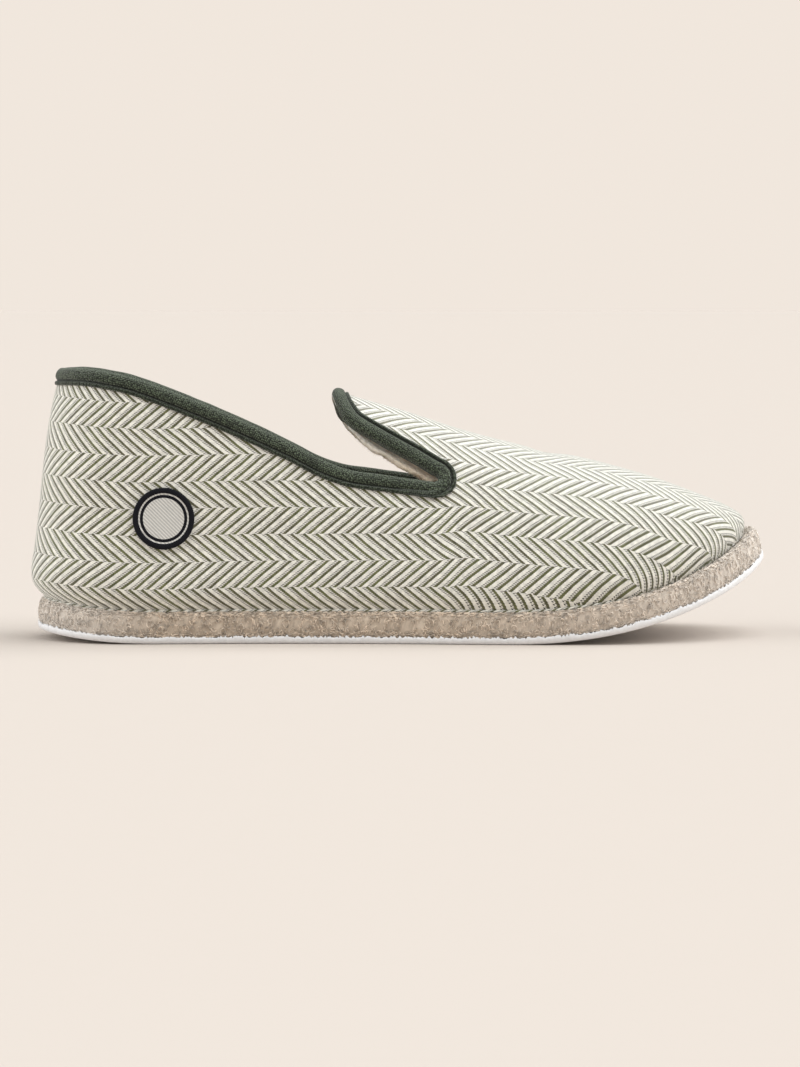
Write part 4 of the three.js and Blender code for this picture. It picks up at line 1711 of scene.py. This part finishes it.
class SLIPPER_OT_patch(bpy.types.Operator):
    """Bare round woven patch with an overlocked rim"""

    bl_idname = "slipper.patch"
    bl_label = "Side Patch"

    def execute(self, context):
        patch = context.scene.slipper_patch
        radius = patch.radius * 1000
        rim = patch.rim_width * 1000
        turns = 240
        reach = np.concatenate((
            np.linspace(0.6, radius - rim - 2.2, 6),
            radius - rim - np.array((1.75, 1.7, 0.6, 0.55)),
            radius - rim + np.linspace(0, rim, 9)))
        angle = np.linspace(0, 2 * math.pi, turns, endpoint=False)
        coarse = np.linspace(0, 2 * math.pi, 25)[:-1]
        spots = [(PATCH_REACH, PATCH_HEIGHT)]
        for r in np.linspace(radius / 4, radius, 4):
            for a in coarse:
                spots.append((PATCH_REACH + r * math.cos(a), PATCH_HEIGHT + r * math.sin(a)))
        base, out = surface_at(np.array(spots))
        middle = base[0]
        axis = out[0]
        # The side is nearly flat here: a cubic surface holds it to a hundredth of a millimetre
        local = base - middle
        terms = patch_terms(local[:, 0], local[:, 2])
        fit, *_ = np.linalg.lstsq(terms, local[:, 1], rcond=None)
        r, a = np.meshgrid(reach, angle)
        x = r * np.cos(a)
        z = r * np.sin(a)
        y = patch_terms(x.ravel(), z.ravel()) @ fit
        lift = np.full(r.shape, 1.0)
        across = (r - (radius - rim)) / rim
        on_rim = across > 0
        thread = 0.5 + 0.5 * np.cos(a * 84 + across * 1.2)
        lift = np.where(on_rim, 0.95 + 0.62 * np.sqrt(np.clip(1 - (2 * across - 1) ** 2, 0, 1))
                        + 0.14 * thread, lift)
        lift[:, -1] = 0.3
        face = middle + np.stack((x, y.reshape(x.shape), z), axis=-1)
        back = face[:, -1:] + axis * 0.25
        grid = np.concatenate((face + axis * lift[..., None], back), axis=1)
        columns = grid.shape[1]
        points = grid.reshape(-1, 3)
        faces = [f[::-1] for f in ring_faces(turns, columns)]
        column_slots = [0] * 6 + [1] * 2 + [0] * 2 + [1] * 9
        slots = [column_slots[k % (columns - 1)] for k in range(len(faces))]
        faces.append(tuple(k * columns for k in range(turns)))
        slots.append(0)
        faces.append(tuple(k * columns + columns - 1 for k in range(turns))[::-1])
        slots.append(1)
        chart = np.stack((points[:, 0] - middle[0], points[:, 2] - middle[2]), axis=1)
        materials = [
            patch_material("patch_twill", shade(patch.field, 0.5), patch.field, 0.0014),
            patch_material("patch_rim", patch.rim, shade(patch.rim, 3.0), 0.0009),
        ]
        piece = add_mesh("side_patch_woven", points, faces, materials, chart, slots)
        place(piece, "woven_patch", "side_patch")
        return {"FINISHED"}


def patch_terms(x, z):
    """Terms of the cubic surface that holds the patch to the cloth."""
    return np.stack((
        np.ones_like(x), x, z, x * x, x * z, z * z, x ** 3, x * x * z, x * z * z, z ** 3), axis=1)


class SLIPPER_OT_stage(bpy.types.Operator):
    """Pale floor and backdrop, soft studio lights and the camera"""

    bl_idname = "slipper.stage"
    bl_label = "Stage"

    def execute(self, context):
        stage = context.scene.slipper_stage
        scene = context.scene
        scene.view_settings.view_transform = "Standard"
        half = 40.0
        vertices = [(-half, -half, 0.0), (half, -half, 0.0), (half, half, 0.0), (-half, half, 0.0)]
        mesh = bpy.data.meshes.new("floor")
        mesh.from_pydata(vertices, [], [(0, 1, 2, 3)])
        mesh.materials.append(floor_material(stage))
        floor = bpy.data.objects.new("floor", mesh)
        scene.collection.objects.link(floor)
        scene.world = studio_world(stage)
        for name, strength, way in (
            ("soft_key", stage.key_strength, (0.5, -0.05, 1.0)),
            ("soft_heel", stage.side_strength * 2.6, (-1.0, 0.0, 0.40)),
            ("soft_toe", stage.side_strength, (1.0, 0.12, 0.24)),
        ):
            sun = bpy.data.lights.new(name, "SUN")
            sun.energy = strength
            sun.angle = math.radians(75)
            sun.color = (0.975, 0.995, 1.0)
            light = bpy.data.objects.new(name, sun)
            light.rotation_euler = Vector(way).to_track_quat("Z", "Y").to_euler()
            scene.collection.objects.link(light)
        aim = Vector((0.0002, 0.0, 0.0393))
        turn = stage.camera_azimuth
        rise = stage.camera_elevation
        level = math.cos(rise)
        back = Vector((math.sin(turn) * level, -math.cos(turn) * level, math.sin(rise)))
        lens = bpy.data.cameras.new("camera")
        lens.lens = stage.focal_length
        lens.sensor_width = 36.0
        camera = bpy.data.objects.new("camera", lens)
        camera.location = aim + back * stage.camera_distance
        camera.rotation_euler = back.to_track_quat("Z", "Y").to_euler()
        scene.collection.objects.link(camera)
        scene.camera = camera
        return {"FINISHED"}


STEPS = ("upper", "hem", "tape", "flap", "felt", "loops", "rubber", "insole", "patch", "stage")


class SLIPPER_PT_panel(bpy.types.Panel):
    """Builds the slipper step by step"""

    bl_label = "House Slipper"
    bl_idname = "SLIPPER_PT_panel"
    bl_space_type = "VIEW_3D"
    bl_region_type = "UI"
    bl_category = "Slipper"

    def draw(self, context):
        for step in STEPS:
            self.layout.operator(f"slipper.{step}")


GROUPS = (
    ("slipper_cloth", SlipperCloth),
    ("slipper_tape", SlipperTape),
    ("slipper_sole", SlipperSole),
    ("slipper_patch", SlipperPatch),
    ("slipper_stage", SlipperStage),
)
CLASSES = (
    SLIPPER_OT_upper, SLIPPER_OT_hem, SLIPPER_OT_tape, SLIPPER_OT_flap, SLIPPER_OT_felt,
    SLIPPER_OT_loops, SLIPPER_OT_rubber, SLIPPER_OT_insole, SLIPPER_OT_patch, SLIPPER_OT_stage,
    SLIPPER_PT_panel,
)


def register():
    """Registers the classes and puts the settings on every scene."""
    for name, group in GROUPS:
        bpy.utils.register_class(group)
        setattr(bpy.types.Scene, name, bpy.props.PointerProperty(type=group))
    for item in CLASSES:
        bpy.utils.register_class(item)


def unregister():
    """Takes back what register did."""
    for item in reversed(CLASSES):
        bpy.utils.unregister_class(item)
    for name, group in reversed(GROUPS):
        delattr(bpy.types.Scene, name)
        bpy.utils.unregister_class(group)


def main():
    """Builds every piece in order."""
    register()
    for step in STEPS:
        getattr(bpy.ops.slipper, step)()


if __name__ == "__main__":
    main()
